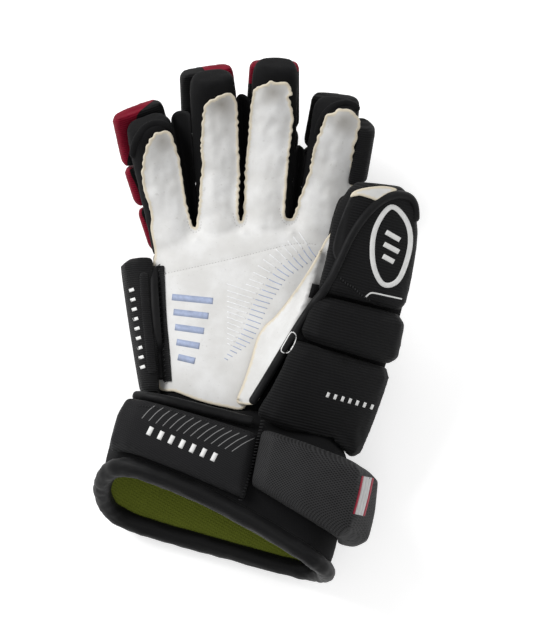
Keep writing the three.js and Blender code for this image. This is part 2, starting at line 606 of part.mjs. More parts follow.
// The cuff: a wider tube from the wrist to a slanted opening
const cuffStart = handFrame(CUFF_OVERLAP / PALM_LENGTH);
const cuffClear = 2 * (SEAM_GAP + CUFF_WALL);
const CUFF_FLOOR = CUFF_BACK_PAD + SEAM_GAP;
const CUFF_ROWS = [
  { t: 0, w: cuffStart.row.w + cuffClear, h: cuffStart.row.h + cuffClear, r: 20,
    z: cuffStart.p.z, yaw: 0, shift: 0 },
  { t: 0.07, w: mix(WRIST_WIDTH, CUFF_WIDTH, 0.45), h: mix(WRIST_HEIGHT, CUFF_HEIGHT, 0.5), r: 26,
    z: mix(cuffStart.p.z, CUFF_FLOOR + CUFF_HEIGHT / 2, 0.5), yaw: 0.5, shift: 1 },
  { t: 0.15, w: mix(WRIST_WIDTH, CUFF_WIDTH, 0.85), h: mix(WRIST_HEIGHT, CUFF_HEIGHT, 0.9), r: 30,
    z: CUFF_FLOOR + mix(WRIST_HEIGHT, CUFF_HEIGHT, 0.9) / 2, yaw: 1, shift: 2 },
  { t: 0.5, w: CUFF_WIDTH, h: CUFF_HEIGHT, r: 30, z: CUFF_FLOOR + CUFF_HEIGHT / 2, yaw: 1, shift: 2 },
  { t: 1, w: CUFF_WIDTH, h: CUFF_HEIGHT, r: 27, z: CUFF_FLOOR + CUFF_HEIGHT / 2, yaw: 1, shift: 3 },
];
const CUFF_SHARES = [0, 0.07, 0.15, 0.32, 0.5, 0.75, 1];

// How far the cuff reaches from the wrist at a place of its section: full at the back, cut short in front.
function cuffReach(x, z) {
  const front = THREE.MathUtils.clamp((z + CUFF_HEIGHT / 2) / CUFF_HEIGHT, 0, 1);
  const { cut } = readTable(CUFF_EDGE, THREE.MathUtils.clamp(x / CUFF_WIDTH + 0.5, 0, 1));
  return CUFF_LENGTH - front * cut * CUFF_CUT_BACK;
}
function cuffPoint(t, u, offset = 0, extra = 0) {
  const row = readTable(CUFF_ROWS, t);
  const [x, z] = sectionPoint(u, row, offset);
  const turn = radians(CUFF_YAW * row.yaw);
  const back = cuffReach(x, z) * t + extra;
  const [along, across] = [way(CUFF_YAW, 0), new THREE.Vector3(Math.cos(turn), -Math.sin(turn), 0)];
  return new THREE.Vector3(cuffStart.p.x, cuffStart.p.y, row.z + z)
    .addScaledVector(across, x + row.shift).addScaledVector(along, -back);
}
const cuffRings = (offset, from, forward = 0) => CUFF_SHARES.filter((t) => t >= from)
  .map((t) => RING_U.map((u) => cuffPoint(t, u, offset, -forward)));
const cuffShell = () => wallSolid(cuffRings(0, 0), cuffRings(-CUFF_WALL, 0), false);
const linerOuter = -CUFF_WALL - SEAM_GAP;
const cuffLiner = () => wallSolid(cuffRings(linerOuter, CUFF_SHARES[2]),
  cuffRings(linerOuter - LINER_WALL, CUFF_SHARES[2]), false);

// A foam pad on the cuff over listed shares along and walks round, thinner at its borders.
function cuffPad(along, round, thick, border = 0.5) {
  const [first, last, start, end] = [along[0], along.at(-1), round[0], round.at(-1)];
  const rim = (value, low, high) => (value === low || value === high ? border : 1);
  return sheetSolid(along, round, (t, u) => cuffPoint(t, u, SEAM_GAP),
    (t, u) => cuffPoint(t, u, SEAM_GAP + thick * rim(t, first, last) * rim(u, start, end)));
}
const FRONT_ROUND = [-0.145, -0.135, -0.12, -0.1, -0.05, 0, 0.02, 0.03];
const THUMB_ROUND = [0.034, 0.05, 0.1, 0.14, 0.18, 0.25, 0.3, 0.32];
const BACK_ROUND = [0.345, 0.36, 0.4, 0.5, 0.6, 0.64, 0.655];
const PAD_ALONG = [0.24, 0.28, 0.32, 0.5, 0.75, 0.92, 0.97];
const THUMB_ALONG = [0.18, 0.24, 0.32, 0.5, 0.72, 0.8];
const BACK_ALONG = [0.2, 0.24, 0.32, 0.5, 0.75, 0.9, 0.95];

// The roll along the upper edge of the palm-side flap.
const ROLL_AT = 0.13;
const cuffRoll = () => rolledEdge(evenly(8).map((a) =>
  cuffPoint(ROLL_AT, mix(-0.145, 0.02, a), CUFF_ROLL / 2 + 3 * SEAM_GAP)), CUFF_ROLL);

// The binding rolled round the edge of the opening.
function cuffBinding() {
  const middle = -(CUFF_WALL + LINER_WALL + SEAM_GAP) / 2;
  const sides = 8;
  const rings = RING_U.map((u) => Array.from({ length: sides }, (_, k) => {
    const angle = 2 * Math.PI * k / sides;
    return cuffPoint(1, u, middle + BINDING / 2 * Math.cos(angle),
      SEAM_GAP + BINDING / 2 * (1 + Math.sin(angle)));
  }));
  return ringSolid(rings, { loop: true });
}

// Assembly
const glove = new THREE.Group();
function addNode(name, solid, finish) {
  const [colour, roughness] = COLOURS[finish];
  const material = new THREE.MeshStandardMaterial({ color: colour, roughness, metalness: 0 });
  const mesh = new THREE.Mesh(geometryOf(solid), material);
  mesh.name = name;
  glove.add(mesh);
}
const largest = (solid) => solid.decompose().sort((a, b) => b.volume() - a.volume())[0];

const handCutter = ringSolid(handRings(SEAM_GAP, SEAM_GAP));
const thumbCutter = ringSolid(thumbRings(SEAM_GAP, -SEAM_GAP, SEAM_GAP));
const thumbPlug = ringSolid(thumbRings(-SHELL_WALL, SHELL_WALL));
const cuffCutter = ringSolid(cuffRings(SEAM_GAP, 0)).add(ringSolid(cuffRings(SEAM_GAP, 0, SEAM_GAP)));
const thumbWall = wallSolid(thumbRings(0, 0), thumbRings(-SHELL_WALL, SHELL_WALL), true);

addNode('hand_shell', wallSolid(handRings(0), handRings(-SHELL_WALL), false).subtract(thumbPlug), 'mesh');
addNode('thumb_stall', largest(thumbWall.subtract(handCutter).subtract(cuffCutter)), 'mesh');
const palmSheet = handPatch(PALM_ALONG, PALM_ROUND, LEATHER_LIFT, LEATHER);
const palm = fingers.reduce((sum, finger) => sum.add(fingerFront(finger)), palmSheet);
addNode('palm_panel', largest(palm.subtract(thumbCutter)), 'leather');
addNode('thumb_leather', thumbLeather().subtract(thumbCutter), 'leather');

for (const finger of fingers) {
  addNode(`${finger.name}_stall`, stallWall(finger), 'mesh');
  for (const roll of ROLLS) {
    const red = finger.name === 'pinky' || (roll.name === 'tip' && finger.name !== 'index');
    addNode(`${finger.name}_${roll.name}_roll`, fingerRoll(finger, roll), red ? 'red' : 'black');
  }
}
addNode('index_side_pad', indexSidePad(fingers.at(-1)), 'black');
BACK_ROLLS.forEach((roll) => addNode(roll.name, backRoll(roll), 'black'));
addNode('side_pad', sidePad().subtract(handCutter), 'black');
addNode('side_flap', sideFlap(), 'black');
GUARDS.forEach((guard) => addNode(guard.name, thumbGuard(guard).subtract(cuffCutter), 'black'));
addNode('thumb_piping', thumbPiping(), 'binding');

addNode('cuff_shell', cuffShell(), 'mesh');
addNode('cuff_liner', cuffLiner(), 'liner');
addNode('cuff_binding', cuffBinding(), 'binding');
addNode('cuff_front_pad', cuffPad(PAD_ALONG, FRONT_ROUND, CUFF_FRONT_PAD), 'black');
addNode('cuff_front_roll', cuffRoll().subtract(cuffCutter), 'binding');
addNode('cuff_thumb_pad', cuffPad(THUMB_ALONG, THUMB_ROUND, CUFF_THUMB_PAD, 0.6), 'mesh');
addNode('cuff_back_pad', cuffPad(BACK_ALONG, BACK_ROUND, CUFF_BACK_PAD, 0.5), 'black');

// The origin is the middle of the footprint, on the surface that the glove lies on.
glove.updateMatrixWorld(true);
const box = new THREE.Box3().setFromObject(glove);
glove.position.set(-(box.min.x + box.max.x) / 2, -(box.min.y + box.max.y) / 2, -box.min.z);

export default glove;
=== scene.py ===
# %% [markdown]
# # An ice hockey glove for the right hand
# A hockey glove is a knitted inner glove with foam blocks sewn to its back, a thin white palm, padded
# plates on the thumb and a wide lined cuff. It lies on its back with the palm up. The plain solids of
# every part come ready-made. This lesson gives each of them its fabric: foam is filled until it swells,
# leather is cut and laid on, edges are bound, and every finish is mixed from procedural nodes.
# %% Load the solids
import math
import bpy
import numpy as np
from mathutils import Matrix, Vector, noise
from mathutils.bvhtree import BVHTree
from mathutils.geometry import delaunay_2d_cdt
from mathutils.kdtree import KDTree


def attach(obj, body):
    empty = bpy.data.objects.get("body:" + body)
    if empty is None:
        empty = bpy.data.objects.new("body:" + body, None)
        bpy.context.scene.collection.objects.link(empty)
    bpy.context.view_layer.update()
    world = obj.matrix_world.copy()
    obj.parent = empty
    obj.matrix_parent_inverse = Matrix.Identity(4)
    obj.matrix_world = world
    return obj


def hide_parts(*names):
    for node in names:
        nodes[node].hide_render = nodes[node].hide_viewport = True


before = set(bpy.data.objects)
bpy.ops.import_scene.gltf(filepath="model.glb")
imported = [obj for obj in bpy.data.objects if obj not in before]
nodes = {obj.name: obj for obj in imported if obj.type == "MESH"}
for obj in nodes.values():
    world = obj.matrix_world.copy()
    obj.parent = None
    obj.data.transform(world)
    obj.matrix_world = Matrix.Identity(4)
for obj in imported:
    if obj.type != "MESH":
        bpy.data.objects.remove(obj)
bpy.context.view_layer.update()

MM = 0.001
scene = bpy.context.scene
print("solids:", len(nodes))

# %% [markdown]
# ## Camera, floor and light
# The camera looks down on the palm, ten degrees from straight above, from far enough that the glove
# keeps its proportions. A pale floor and broad lamps from the upper left give soft highlights on the
# black fabric and leave its lower right side dark, as in a product studio.
# %% Camera
TILT = math.radians(10)
FOCAL = 2500.0                     # in pixels of a picture that is 533 wide and 633 high
EYE = Vector((0.0071, -0.2947, 1.7242))
bpy.ops.object.select_all(action="DESELECT")
bpy.ops.object.camera_add(location=EYE, rotation=(TILT, 0, 0))
camera = bpy.context.object
camera.data.sensor_width = 36
camera.data.lens = FOCAL * 36 / 633
scene.camera = camera


def sight(u, v):
    """The line of sight through a place of the picture, from the camera."""
    way = Vector(((u - 266.5) / FOCAL, (316.5 - v) / FOCAL, -1))
    return (Matrix.Rotation(TILT, 3, "X") @ way).normalized()


print("camera:", tuple(round(x, 3) for x in EYE))

# %% Floor and lamps
bpy.ops.mesh.primitive_plane_add(size=8, location=(0, 0, -0.0003))
floor = bpy.context.object
floor.name = "floor"
paper = bpy.data.materials.new("pale_floor")
paper.use_nodes = True
paper.node_tree.nodes["Principled BSDF"].inputs["Base Color"].default_value = (0.86, 0.86, 0.86, 1)
paper.node_tree.nodes["Principled BSDF"].inputs["Roughness"].default_value = 0.9
paper.node_tree.nodes["Principled BSDF"].inputs["Emission Color"].default_value = (1, 1, 1, 1)
paper.node_tree.nodes["Principled BSDF"].inputs["Emission Strength"].default_value = 0.5
floor.data.materials.append(paper)

world = bpy.data.worlds.new("studio")
world.use_nodes = True
world.node_tree.nodes["Background"].inputs["Color"].default_value = (1, 1, 1, 1)
world.node_tree.nodes["Background"].inputs["Strength"].default_value = 0.42
scene.world = world
scene.view_settings.view_transform = "Standard"

LAMPS = [  # place, size and power of each lamp; all of them face the glove
    ((-1.2, 0.9, 1.3), 1.0, 29),
    ((0.3, -0.9, 2.2), 1.6, 9),
    ((1.4, 0.8, 1.1), 1.0, 4),
]
for place, size, power in LAMPS:
    bpy.ops.object.light_add(type="AREA", location=place)
    lamp = bpy.context.object
    lamp.data.size = size
    lamp.data.energy = power
    lamp.rotation_euler = (-Vector(place)).to_track_quat("-Z", "Y").to_euler()
print("lamps:", len(LAMPS))

# %% [markdown]
# ## Small tools for nodes
# Every finish below is built from the same few shader groups. `make` adds one node and joins its
# sockets, `calc` does sums on the values, and `group` starts a node group with named sockets.
# %% Node helpers
def make(tree, kind, sockets=None, **settings):
    """Adds a shader node. sockets maps an input's name or number to a value, a node or a socket."""
    item = tree.nodes.new("ShaderNode" + kind)
    for key, value in settings.items():
        setattr(item, key, value)
    for key, value in (sockets or {}).items():
        if isinstance(value, bpy.types.Node):
            value = value.outputs[0]
        if isinstance(value, bpy.types.NodeSocket):
            tree.links.new(value, item.inputs[key])
        else:
            item.inputs[key].default_value = value
    return item


def calc(tree, operation, *values, clamp=False):
    sockets = dict(enumerate(values))
    return make(tree, "Math", sockets, operation=operation, use_clamp=clamp)


def along(tree, place, direction):
    """How far a place lies along a direction."""
    return make(tree, "VectorMath", {0: place, 1: direction}, operation="DOT_PRODUCT").outputs["Value"]


def ramp(tree, value, low, high, bottom=0.0, top=1.0):
    """A value turned smoothly from one range to another."""
    sockets = {"Value": value, "From Min": low, "From Max": high, "To Min": bottom, "To Max": top}
    return make(tree, "MapRange", sockets, interpolation_type="SMOOTHSTEP")


def blend(tree, factor, first, second):
    """Two colours mixed by a factor."""
    item = make(tree, "Mix", {0: factor, 6: first, 7: second}, data_type="RGBA")
    return item.outputs[2]


def group(name, inputs, outputs):
    """A node group: returns the group, its input sockets by name and its output node."""
    tree = bpy.data.node_groups.new(name, "ShaderNodeTree")
    for label, kind, value in inputs:
        socket = tree.interface.new_socket(label, in_out="INPUT", socket_type="NodeSocket" + kind)
        socket.default_value = value
    for label, kind in outputs:
        tree.interface.new_socket(label, in_out="OUTPUT", socket_type="NodeSocket" + kind)
    entry, leave = tree.nodes.new("NodeGroupInput"), tree.nodes.new("NodeGroupOutput")
    return tree, entry.outputs, leave.inputs


def use(tree, name, sockets):
    """Places a node group in a material."""
    item = tree.nodes.new("ShaderNodeGroup")
    item.node_tree = bpy.data.node_groups[name]
    for key, value in sockets.items():
        if isinstance(value, bpy.types.NodeSocket):
            tree.links.new(value, item.inputs[key])
        else:
            item.inputs[key].default_value = value
    return item.outputs


# %% [markdown]
# ## Fabrics as shader groups
# Four fabrics cover the glove. The foam blocks wear a ribbed weave: fine ribs, crossed by threads that
# are shifted from one rib to the next. The cuff's thumb side wears an open mesh with rows of small
# holes, and the lining is a knit of slanted loops. The palm is suede, which has only a fine nap and
# pale clouds. Each is a group that puts out a height for the bump and a shade for the colour, so a
# material only has to say how wide and in which direction its threads run.
# %% Ribbed weave
PLACE = ("Place", "Vector", (0, 0, 0))
ALONG = ("Along", "Vector", (0, 1, 0))
ACROSS = ("Across", "Vector", (1, 0, 0))
ribs, given, out = group("Ribbed weave", [PLACE, ALONG, ACROSS, ("Spacing", "Float", 0.0016)],
                         [("Height", "Float"), ("Shade", "Float")])
uneven = make(ribs, "TexNoise", {"Vector": given["Place"], "Scale": 45.0, "Detail": 2.0})
count = calc(ribs, "DIVIDE", along(ribs, given["Place"], given["Along"]), given["Spacing"])
count = calc(ribs, "ADD", count, calc(ribs, "MULTIPLY", uneven.outputs["Fac"], 0.5))
wave = calc(ribs, "COSINE", calc(ribs, "MULTIPLY", count, 2 * math.pi))
rib = calc(ribs, "MULTIPLY_ADD", wave, 0.5, 0.5)
thread = calc(ribs, "DIVIDE", along(ribs, given["Place"], given["Across"]), given["Spacing"])
thread = calc(ribs, "MULTIPLY_ADD", thread, 1.9, calc(ribs, "MULTIPLY", calc(ribs, "ROUND", count), 0.5))
stitch = calc(ribs, "MULTIPLY_ADD", calc(ribs, "COSINE", calc(ribs, "MULTIPLY", thread, 2 * math.pi)), 0.5, 0.5)
ribs.links.new(calc(ribs, "MULTIPLY", rib, calc(ribs, "MULTIPLY_ADD", stitch, 0.3, 0.7)).outputs[0], out["Height"])
shade = calc(ribs, "MULTIPLY_ADD", rib, 0.5, calc(ribs, "MULTIPLY_ADD", uneven.outputs["Fac"], 0.5, 0.3))
ribs.links.new(shade.outputs[0], out["Shade"])
print("group:", ribs.name)

# %% Open mesh
mesh, given, out = group("Open mesh", [PLACE, ALONG, ACROSS, ("Spacing", "Float", 0.0018)],
                         [("Height", "Float"), ("Shade", "Float")])
rows = calc(mesh, "DIVIDE", along(mesh, given["Place"], given["Along"]), given["Spacing"])
columns = calc(mesh, "DIVIDE", along(mesh, given["Place"], given["Across"]), given["Spacing"])
first = calc(mesh, "COSINE", calc(mesh, "MULTIPLY", calc(mesh, "ADD", rows, columns), math.pi))
second = calc(mesh, "COSINE", calc(mesh, "MULTIPLY", calc(mesh, "SUBTRACT", rows, columns), math.pi))
product = calc(mesh, "ABSOLUTE", calc(mesh, "MULTIPLY", first, second))
hole = ramp(mesh, product, 0.35, 0.8)
mesh.links.new(calc(mesh, "SUBTRACT", 1.0, hole).outputs[0], out["Height"])
cloud = make(mesh, "TexNoise", {"Vector": given["Place"], "Scale": 60.0, "Detail": 3.0})
shade = calc(mesh, "MULTIPLY_ADD", hole, -0.75, calc(mesh, "MULTIPLY_ADD", cloud.outputs["Fac"], 0.6, 0.7))
mesh.links.new(shade.outputs[0], out["Shade"])
print("group:", mesh.name)

# %% Knitted lining
knit, given, out = group("Knit", [PLACE, ALONG, ACROSS, ("Spacing", "Float", 0.002)],
                         [("Height", "Float"), ("Shade", "Float")])
rows = calc(knit, "DIVIDE", along(knit, given["Place"], given["Along"]), given["Spacing"])
columns = calc(knit, "DIVIDE", along(knit, given["Place"], given["Across"]), given["Spacing"])
lean = calc(knit, "MULTIPLY", calc(knit, "PINGPONG", columns, 0.5), 0.9)
loop = calc(knit, "COSINE", calc(knit, "MULTIPLY", calc(knit, "ADD", rows, lean), 2 * math.pi))
wale = calc(knit, "COSINE", calc(knit, "MULTIPLY", columns, 2 * math.pi))
height = calc(knit, "MULTIPLY_ADD", loop, 0.3, calc(knit, "MULTIPLY_ADD", wale, 0.2, 0.5))
knit.links.new(height.outputs[0], out["Height"])
nap = make(knit, "TexNoise", {"Vector": given["Place"], "Scale": 150.0, "Detail": 4.0})
shade = calc(knit, "MULTIPLY_ADD", height, 0.45, calc(knit, "MULTIPLY_ADD", nap.outputs["Fac"], 0.5, 0.5))
knit.links.new(shade.outputs[0], out["Shade"])
print("group:", knit.name)

# %% Suede nap and clouds
nap, given, out = group("Suede", [PLACE], [("Height", "Float"), ("Cloud", "Float"), ("Fleck", "Float")])
fine = make(nap, "TexNoise", {"Vector": given["Place"], "Scale": 1400.0, "Detail": 3.0, "Roughness": 0.7})
broad = make(nap, "TexNoise", {"Vector": given["Place"], "Scale": 38.0, "Detail": 4.0, "Roughness": 0.6})
pores = make(nap, "TexNoise", {"Vector": given["Place"], "Scale": 420.0, "Detail": 2.0})
nap.links.new(calc(nap, "MULTIPLY_ADD", broad.outputs["Fac"], 0.4, fine.outputs["Fac"]).outputs[0], out["Height"])
nap.links.new(ramp(nap, broad.outputs["Fac"], 0.35, 0.7).outputs[0], out["Cloud"])
nap.links.new(ramp(nap, pores.outputs["Fac"], 0.66, 0.74).outputs[0], out["Fleck"])
print("group:", nap.name)

# %% [markdown]
# Ridges where fabric stands proud go paler: partly wear, as lint and rubbing lift the nap, and partly a
# painted highlight along the raised edges; dust stays in broken patches. Blender's pointiness tells ridges
# from hollows on a dense mesh, and a noise breaks it up, so one small group serves all black covers.
# %% Rubbed edges with a painted highlight
rub_and_highlight_group, given, out = group("Rubbed and highlit edges", [PLACE, ("Amount", "Float", 0.5)], [("Mask", "Float")])
# pointiness finds the raised ridges, which the mask paints paler: wear and a painted highlight
ridge = ramp(rub_and_highlight_group, make(rub_and_highlight_group, "NewGeometry").outputs["Pointiness"], 0.503, 0.56)
patch = make(rub_and_highlight_group, "TexNoise", {"Vector": given["Place"], "Scale": 90.0, "Detail": 5.0, "Roughness": 0.65})
broken = ramp(rub_and_highlight_group, patch.outputs["Fac"], 0.3, 0.65)
mask = calc(rub_and_highlight_group, "MULTIPLY", calc(rub_and_highlight_group, "MULTIPLY", ridge, broken), given["Amount"])
rub_and_highlight_group.links.new(mask.outputs[0], out["Mask"])
print("group:", rub_and_highlight_group.name)


# %% [markdown]
# ## Materials
# `fabric` makes one woven material: the group gives the thread relief and a light and dark shade of the
# dye, paler ridges, partly wear and partly a painted highlight, are mixed in on top, and the roughness
# moves a little with the shade. Sheen, which fabric shows at a shallow angle, is a fixed number on the shader.
# %% A fabric material
def unit(vector):
    return tuple(Vector(vector).normalized())


def fabric(name, dark, light, run, weft, pattern="Ribbed weave", spacing=1.6, relief=0.4,
           roughness=0.62, sheen=0.015, specular=0.09, rub_and_highlight_colour=(0.07, 0.07, 0.072), rub_and_highlight_amount=0.25):
    material = bpy.data.materials.new(name)
    material.use_nodes = True
    tree = material.node_tree
    shader = tree.nodes["Principled BSDF"]
    place = make(tree, "TexCoord").outputs["Object"]
    threads = use(tree, pattern, {"Place": place, "Along": unit(run), "Across": unit(weft), "Spacing": spacing * MM})
    colour = blend(tree, threads["Shade"], (*dark, 1), (*light, 1))
    # ridges are mixed in paler: rubbed wear and a painted highlight on the raised edges
    rub_and_highlight_mask = use(tree, "Rubbed and highlit edges", {"Place": place, "Amount": rub_and_highlight_amount})["Mask"]
    tree.links.new(blend(tree, rub_and_highlight_mask, colour, (*rub_and_highlight_colour, 1)), shader.inputs["Base Color"])
    rough = calc(tree, "MULTIPLY_ADD", threads["Shade"], 0.12, roughness - 0.06)
    tree.links.new(rough.outputs[0], shader.inputs["Roughness"])
    bump = make(tree, "Bump", {"Height": threads["Height"], "Strength": 0.8, "Distance": relief * MM})
    tree.links.new(bump.outputs[0], shader.inputs["Normal"])
    shader.inputs["Sheen Weight"].default_value = sheen
    shader.inputs["Sheen Roughness"].default_value = 0.5
    shader.inputs["Specular IOR Level"].default_value = specular
    return material


BLACK = ((0.001, 0.001, 0.0011), (0.011, 0.011, 0.0115))
RED = ((0.12, 0.001, 0.009), (0.22, 0.005, 0.022))
print("fabric maker ready")


# %% [markdown]
# The palm is white synthetic suede. Its cut edges show the cream core of the material, so the mesh
# carries an attribute, `edge`, that is 1 on the cut and 0 inside, and `turned` marks spots where it runs
# over the fingertips, which the material makes darker and grey-brown.
# %% Suede and plain materials
def suede(name):
    material = bpy.data.materials.new(name)
    material.use_nodes = True
    tree = material.node_tree
    shader = tree.nodes["Principled BSDF"]
    place = make(tree, "TexCoord").outputs["Object"]
    hide = use(tree, "Suede", {"Place": place})
    white = blend(tree, hide["Cloud"], (0.66, 0.655, 0.64, 1), (0.76, 0.76, 0.755, 1))
    white = blend(tree, calc(tree, "MULTIPLY", hide["Fleck"], 0.35).outputs[0], white, (0.5, 0.49, 0.47, 1))
    turned = make(tree, "Attribute", attribute_name="turned").outputs["Fac"]
    # the suede turns darker and grey-brown in spots at the fingertips
    darker_tips = calc(tree, "MULTIPLY", turned, calc(tree, "MULTIPLY_ADD", hide["Cloud"], 0.3, 0.7))
    white = blend(tree, darker_tips.outputs[0], white, (0.3, 0.28, 0.25, 1))
    edge = make(tree, "Attribute", attribute_name="edge").outputs["Fac"]
    tree.links.new(blend(tree, edge, white, (0.7, 0.63, 0.5, 1)), shader.inputs["Base Color"])
    rough = calc(tree, "MULTIPLY_ADD", hide["Cloud"], 0.1, 0.75)
    tree.links.new(rough.outputs[0], shader.inputs["Roughness"])
    bump = make(tree, "Bump", {"Height": hide["Height"], "Strength": 0.5, "Distance": 0.12 * MM})
    tree.links.new(bump.outputs[0], shader.inputs["Normal"])
    shader.inputs["Sheen Weight"].default_value = 0.2
    shader.inputs["Specular IOR Level"].default_value = 0.3
    return material


white_suede = suede("white_suede")
print("material:", white_suede.name)

# %% [markdown]
# ## Mesh helpers
# These few helpers are the hands of the lesson: select one object, copy a solid, apply a modifier and
# finish a piece. A CAD solid is loose triangles, so its copy is merged before anything else.
# %% Mesh helpers
def take(piece):
    """Makes one object the only selected and active one."""
    bpy.ops.object.select_all(action="DESELECT")
    piece.select_set(True)
    bpy.context.view_layer.objects.active = piece


def copied(name, source, quads=False):
    """A merged copy of a solid's mesh as a new object."""
    piece = bpy.data.objects.new(name, nodes[source].data.copy())
    piece.data.name = name
    scene.collection.objects.link(piece)
    piece.data.materials.clear()
    take(piece)
    bpy.ops.object.mode_set(mode="EDIT")
    bpy.ops.mesh.select_all(action="SELECT")
    bpy.ops.mesh.remove_doubles(threshold=0.00001)
    if quads:
        bpy.ops.mesh.tris_convert_to_quads(face_threshold=math.radians(60), shape_threshold=math.radians(60))
    bpy.ops.object.mode_set(mode="OBJECT")
    return piece


def modify(piece, kind, **settings):
    """Adds a modifier with its settings and applies it."""
    take(piece)
    modifier = piece.modifiers.new(kind.title(), kind)
    for key, value in settings.items():
        setattr(modifier, key, value)
    bpy.ops.object.modifier_apply(modifier=modifier.name)


def points_of(piece):
    flat = np.zeros(len(piece.data.vertices) * 3)
    piece.data.vertices.foreach_get("co", flat)
    return flat.reshape(-1, 3)


def set_points(piece, points):
    piece.data.vertices.foreach_set("co", np.asarray(points, dtype=np.float32).ravel())
    piece.data.update()


def normals_of(piece):
    return np.array([tuple(v.normal) for v in piece.data.vertices])


def skin(*pieces):
    """One search tree over the surfaces of several objects."""
    points, faces = [], []
    for piece in pieces:
        start = len(points)
        points += [v.co.copy() for v in piece.data.vertices]
        faces += [[start + i for i in p.vertices] for p in piece.data.polygons]
    return BVHTree.FromPolygons(points, faces)


def finished(piece, material, slot, *replaced):
    """Gives a piece its material, lets it ride on the glove and hides the solids that it replaces."""
    piece.data.materials.clear()
    piece.data.materials.append(material)
    take(piece)
    bpy.ops.object.shade_smooth()
    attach(piece, "root")
    if replaced:
        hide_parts(*replaced)
    return piece


# %% [markdown]
# ## The lines of the fingers and the thumb
# Each finger bends evenly from the knuckles upwards, so its middle line is part of a circle, and so is
# the thumb's. The ribs of the foam blocks run across these lines, and other details are placed by them.
# The values are the same that the solids were made from: the base in millimetres, the first and last
# way as heading and pitch in degrees, the length, how far the tip is rolled and which side is the palm's.
# %% Lines of the fingers and the thumb
X, Y, Z = (1, 0, 0), (0, 1, 0), (0, 0, 1)
LINES = {
    "pinky": ((-56.84, 50.29, 39.0), (-11.5, 5), (-11.5, 44.4), 92, 20, Z),
    "ring": ((-24.54, 58.01, 39.0), (-3, 5), (-3, 44), 115, 14, Z),
    "middle": ((8.01, 60.51, 39.0), (3, 5), (3, 45), 121, 5, Z),
    "index": ((40.81, 57.67, 39.0), (9.5, 5), (9.5, 48.7), 98, 5, Z),
    "thumb": ((28.83, -64.89, 52.0), (27, 15), (5, 9), 152, 0, (0.5, -0.12, 0.86)),
}
FINGERS = ["pinky", "ring", "middle", "index"]


def heading_way(heading, pitch):
    heading, pitch = math.radians(heading), math.radians(pitch)
    return Vector((math.sin(heading) * math.cos(pitch), math.cos(heading) * math.cos(pitch), math.sin(pitch)))


def line_frame(name, s):
    """The point s millimetres along a line, the way ahead, the way across and the way to the palm."""
    base, first, last, length, roll, outwards = LINES[name]
    first, last = heading_way(*first), heading_way(*last)
    bend = first.angle(last) / length
    side = (last - first * first.dot(last)).normalized()
    point = Vector(base) + first * (math.sin(bend * s) / bend) + side * ((1 - math.cos(bend * s)) / bend)
    ahead = first * math.cos(bend * s) + side * math.sin(bend * s)
    across = ahead.cross(Vector(outwards)).normalized()
    turn = Matrix.Rotation(math.radians(roll) * min(max(s / length, 0), 1), 3, ahead)
    return point * MM, ahead, turn @ across, turn @ across.cross(ahead).normalized()


def beside(name, s, x, z):
    """A point x millimetres across and z towards the palm from a line."""
    point, ahead, across, palm = line_frame(name, s)
    return point + (across * x + palm * z) * MM


for name in LINES:
    print(name, "tip:", tuple(round(c, 3) for c in line_frame(name, LINES[name][3])[0]))

# %% [markdown]
# ## Foam blocks
# A foam block is a cover sewn round a shaped piece of foam, so its faces are slightly crowned, its
# edges are round and it is flat only where it lies on the hand or on the table. Each solid is copied,
# turned to an even skin by a voxel remesh and softened, and then cloth pressure fills it like a
# cushion. The seat towards the hand is held in place. The fill stops at a small limit so that the block
# keeps its size, and at half the gap to its neighbours so that no two blocks grow together.
# %% The list of blocks
BLOCKS = {}                        # piece name: CAD node, voxel in mm, swell in mm, smoothing steps


def block(node, voxel=1.7, swell=1.6, soften=3):
    BLOCKS[node + "_cover"] = (node, voxel, swell, soften)


for finger in FINGERS:
    for part in ("base", "middle", "tip"):
        block(f"{finger}_{part}_roll", 1.4, 1.2, 2)
block("index_side_pad", 1.3, 1.2)
block("wrist_roll", 2.2, 1.6)
block("back_roll", 2.2, 1.6)
block("knuckle_roll", 2.2, 1.6)
block("side_pad", 1.6, 1.2, 2)
for part in ("base", "middle", "tip"):
    block(f"thumb_guard_{part}", 1.6, 2.0, 3)
block("cuff_front_pad", 1.7, 2.0, 3)
block("cuff_thumb_pad", 1.9, 2.0, 3)
block("cuff_back_pad", 2.0, 1.6, 3)
print("blocks:", len(BLOCKS))

# %% Even skins
CARRIERS = ["hand_shell", "thumb_stall", "cuff_shell", *(f"{finger}_stall" for finger in FINGERS)]
carrier_skin = skin(*(nodes[name] for name in CARRIERS))
made = {}
for name, (source, voxel, swell, soften) in BLOCKS.items():
    piece = copied(name, source)
    modify(piece, "REMESH", mode="VOXEL", voxel_size=voxel * MM, adaptivity=0)
    modify(piece, "SMOOTH", factor=0.5, iterations=soften)
    made[name] = piece
print("vertices of all blocks:", sum(len(p.data.vertices) for p in made.values()))


# %% Room to swell
def room(piece, own_source, swell):
    """How far each point of a block may move: held on its seat, free elsewhere, half way to a neighbour."""
    others = [nodes[n] for n in nodes if n != own_source and n not in CARRIERS]
    near = [o for o in others if box_gap(nodes[own_source], o) < 8 * MM]
    neighbours = skin(*near) if near else None
    limits = []
    for vertex in piece.data.vertices:
        point, normal = vertex.co, vertex.normal
        hit = carrier_skin.find_nearest(point, 2.5 * MM)
        limit = swell * MM
        if hit[0] is not None and (hit[0] - point).normalized().dot(normal) > 0.4:
            limit = 0.0
        if limit and neighbours:
            ahead = neighbours.ray_cast(point, normal, 2 * limit)
            if ahead[0] is not None:
                limit = min(limit, 0.4 * ahead[3])
        limits.append(limit)
    return np.array(limits)


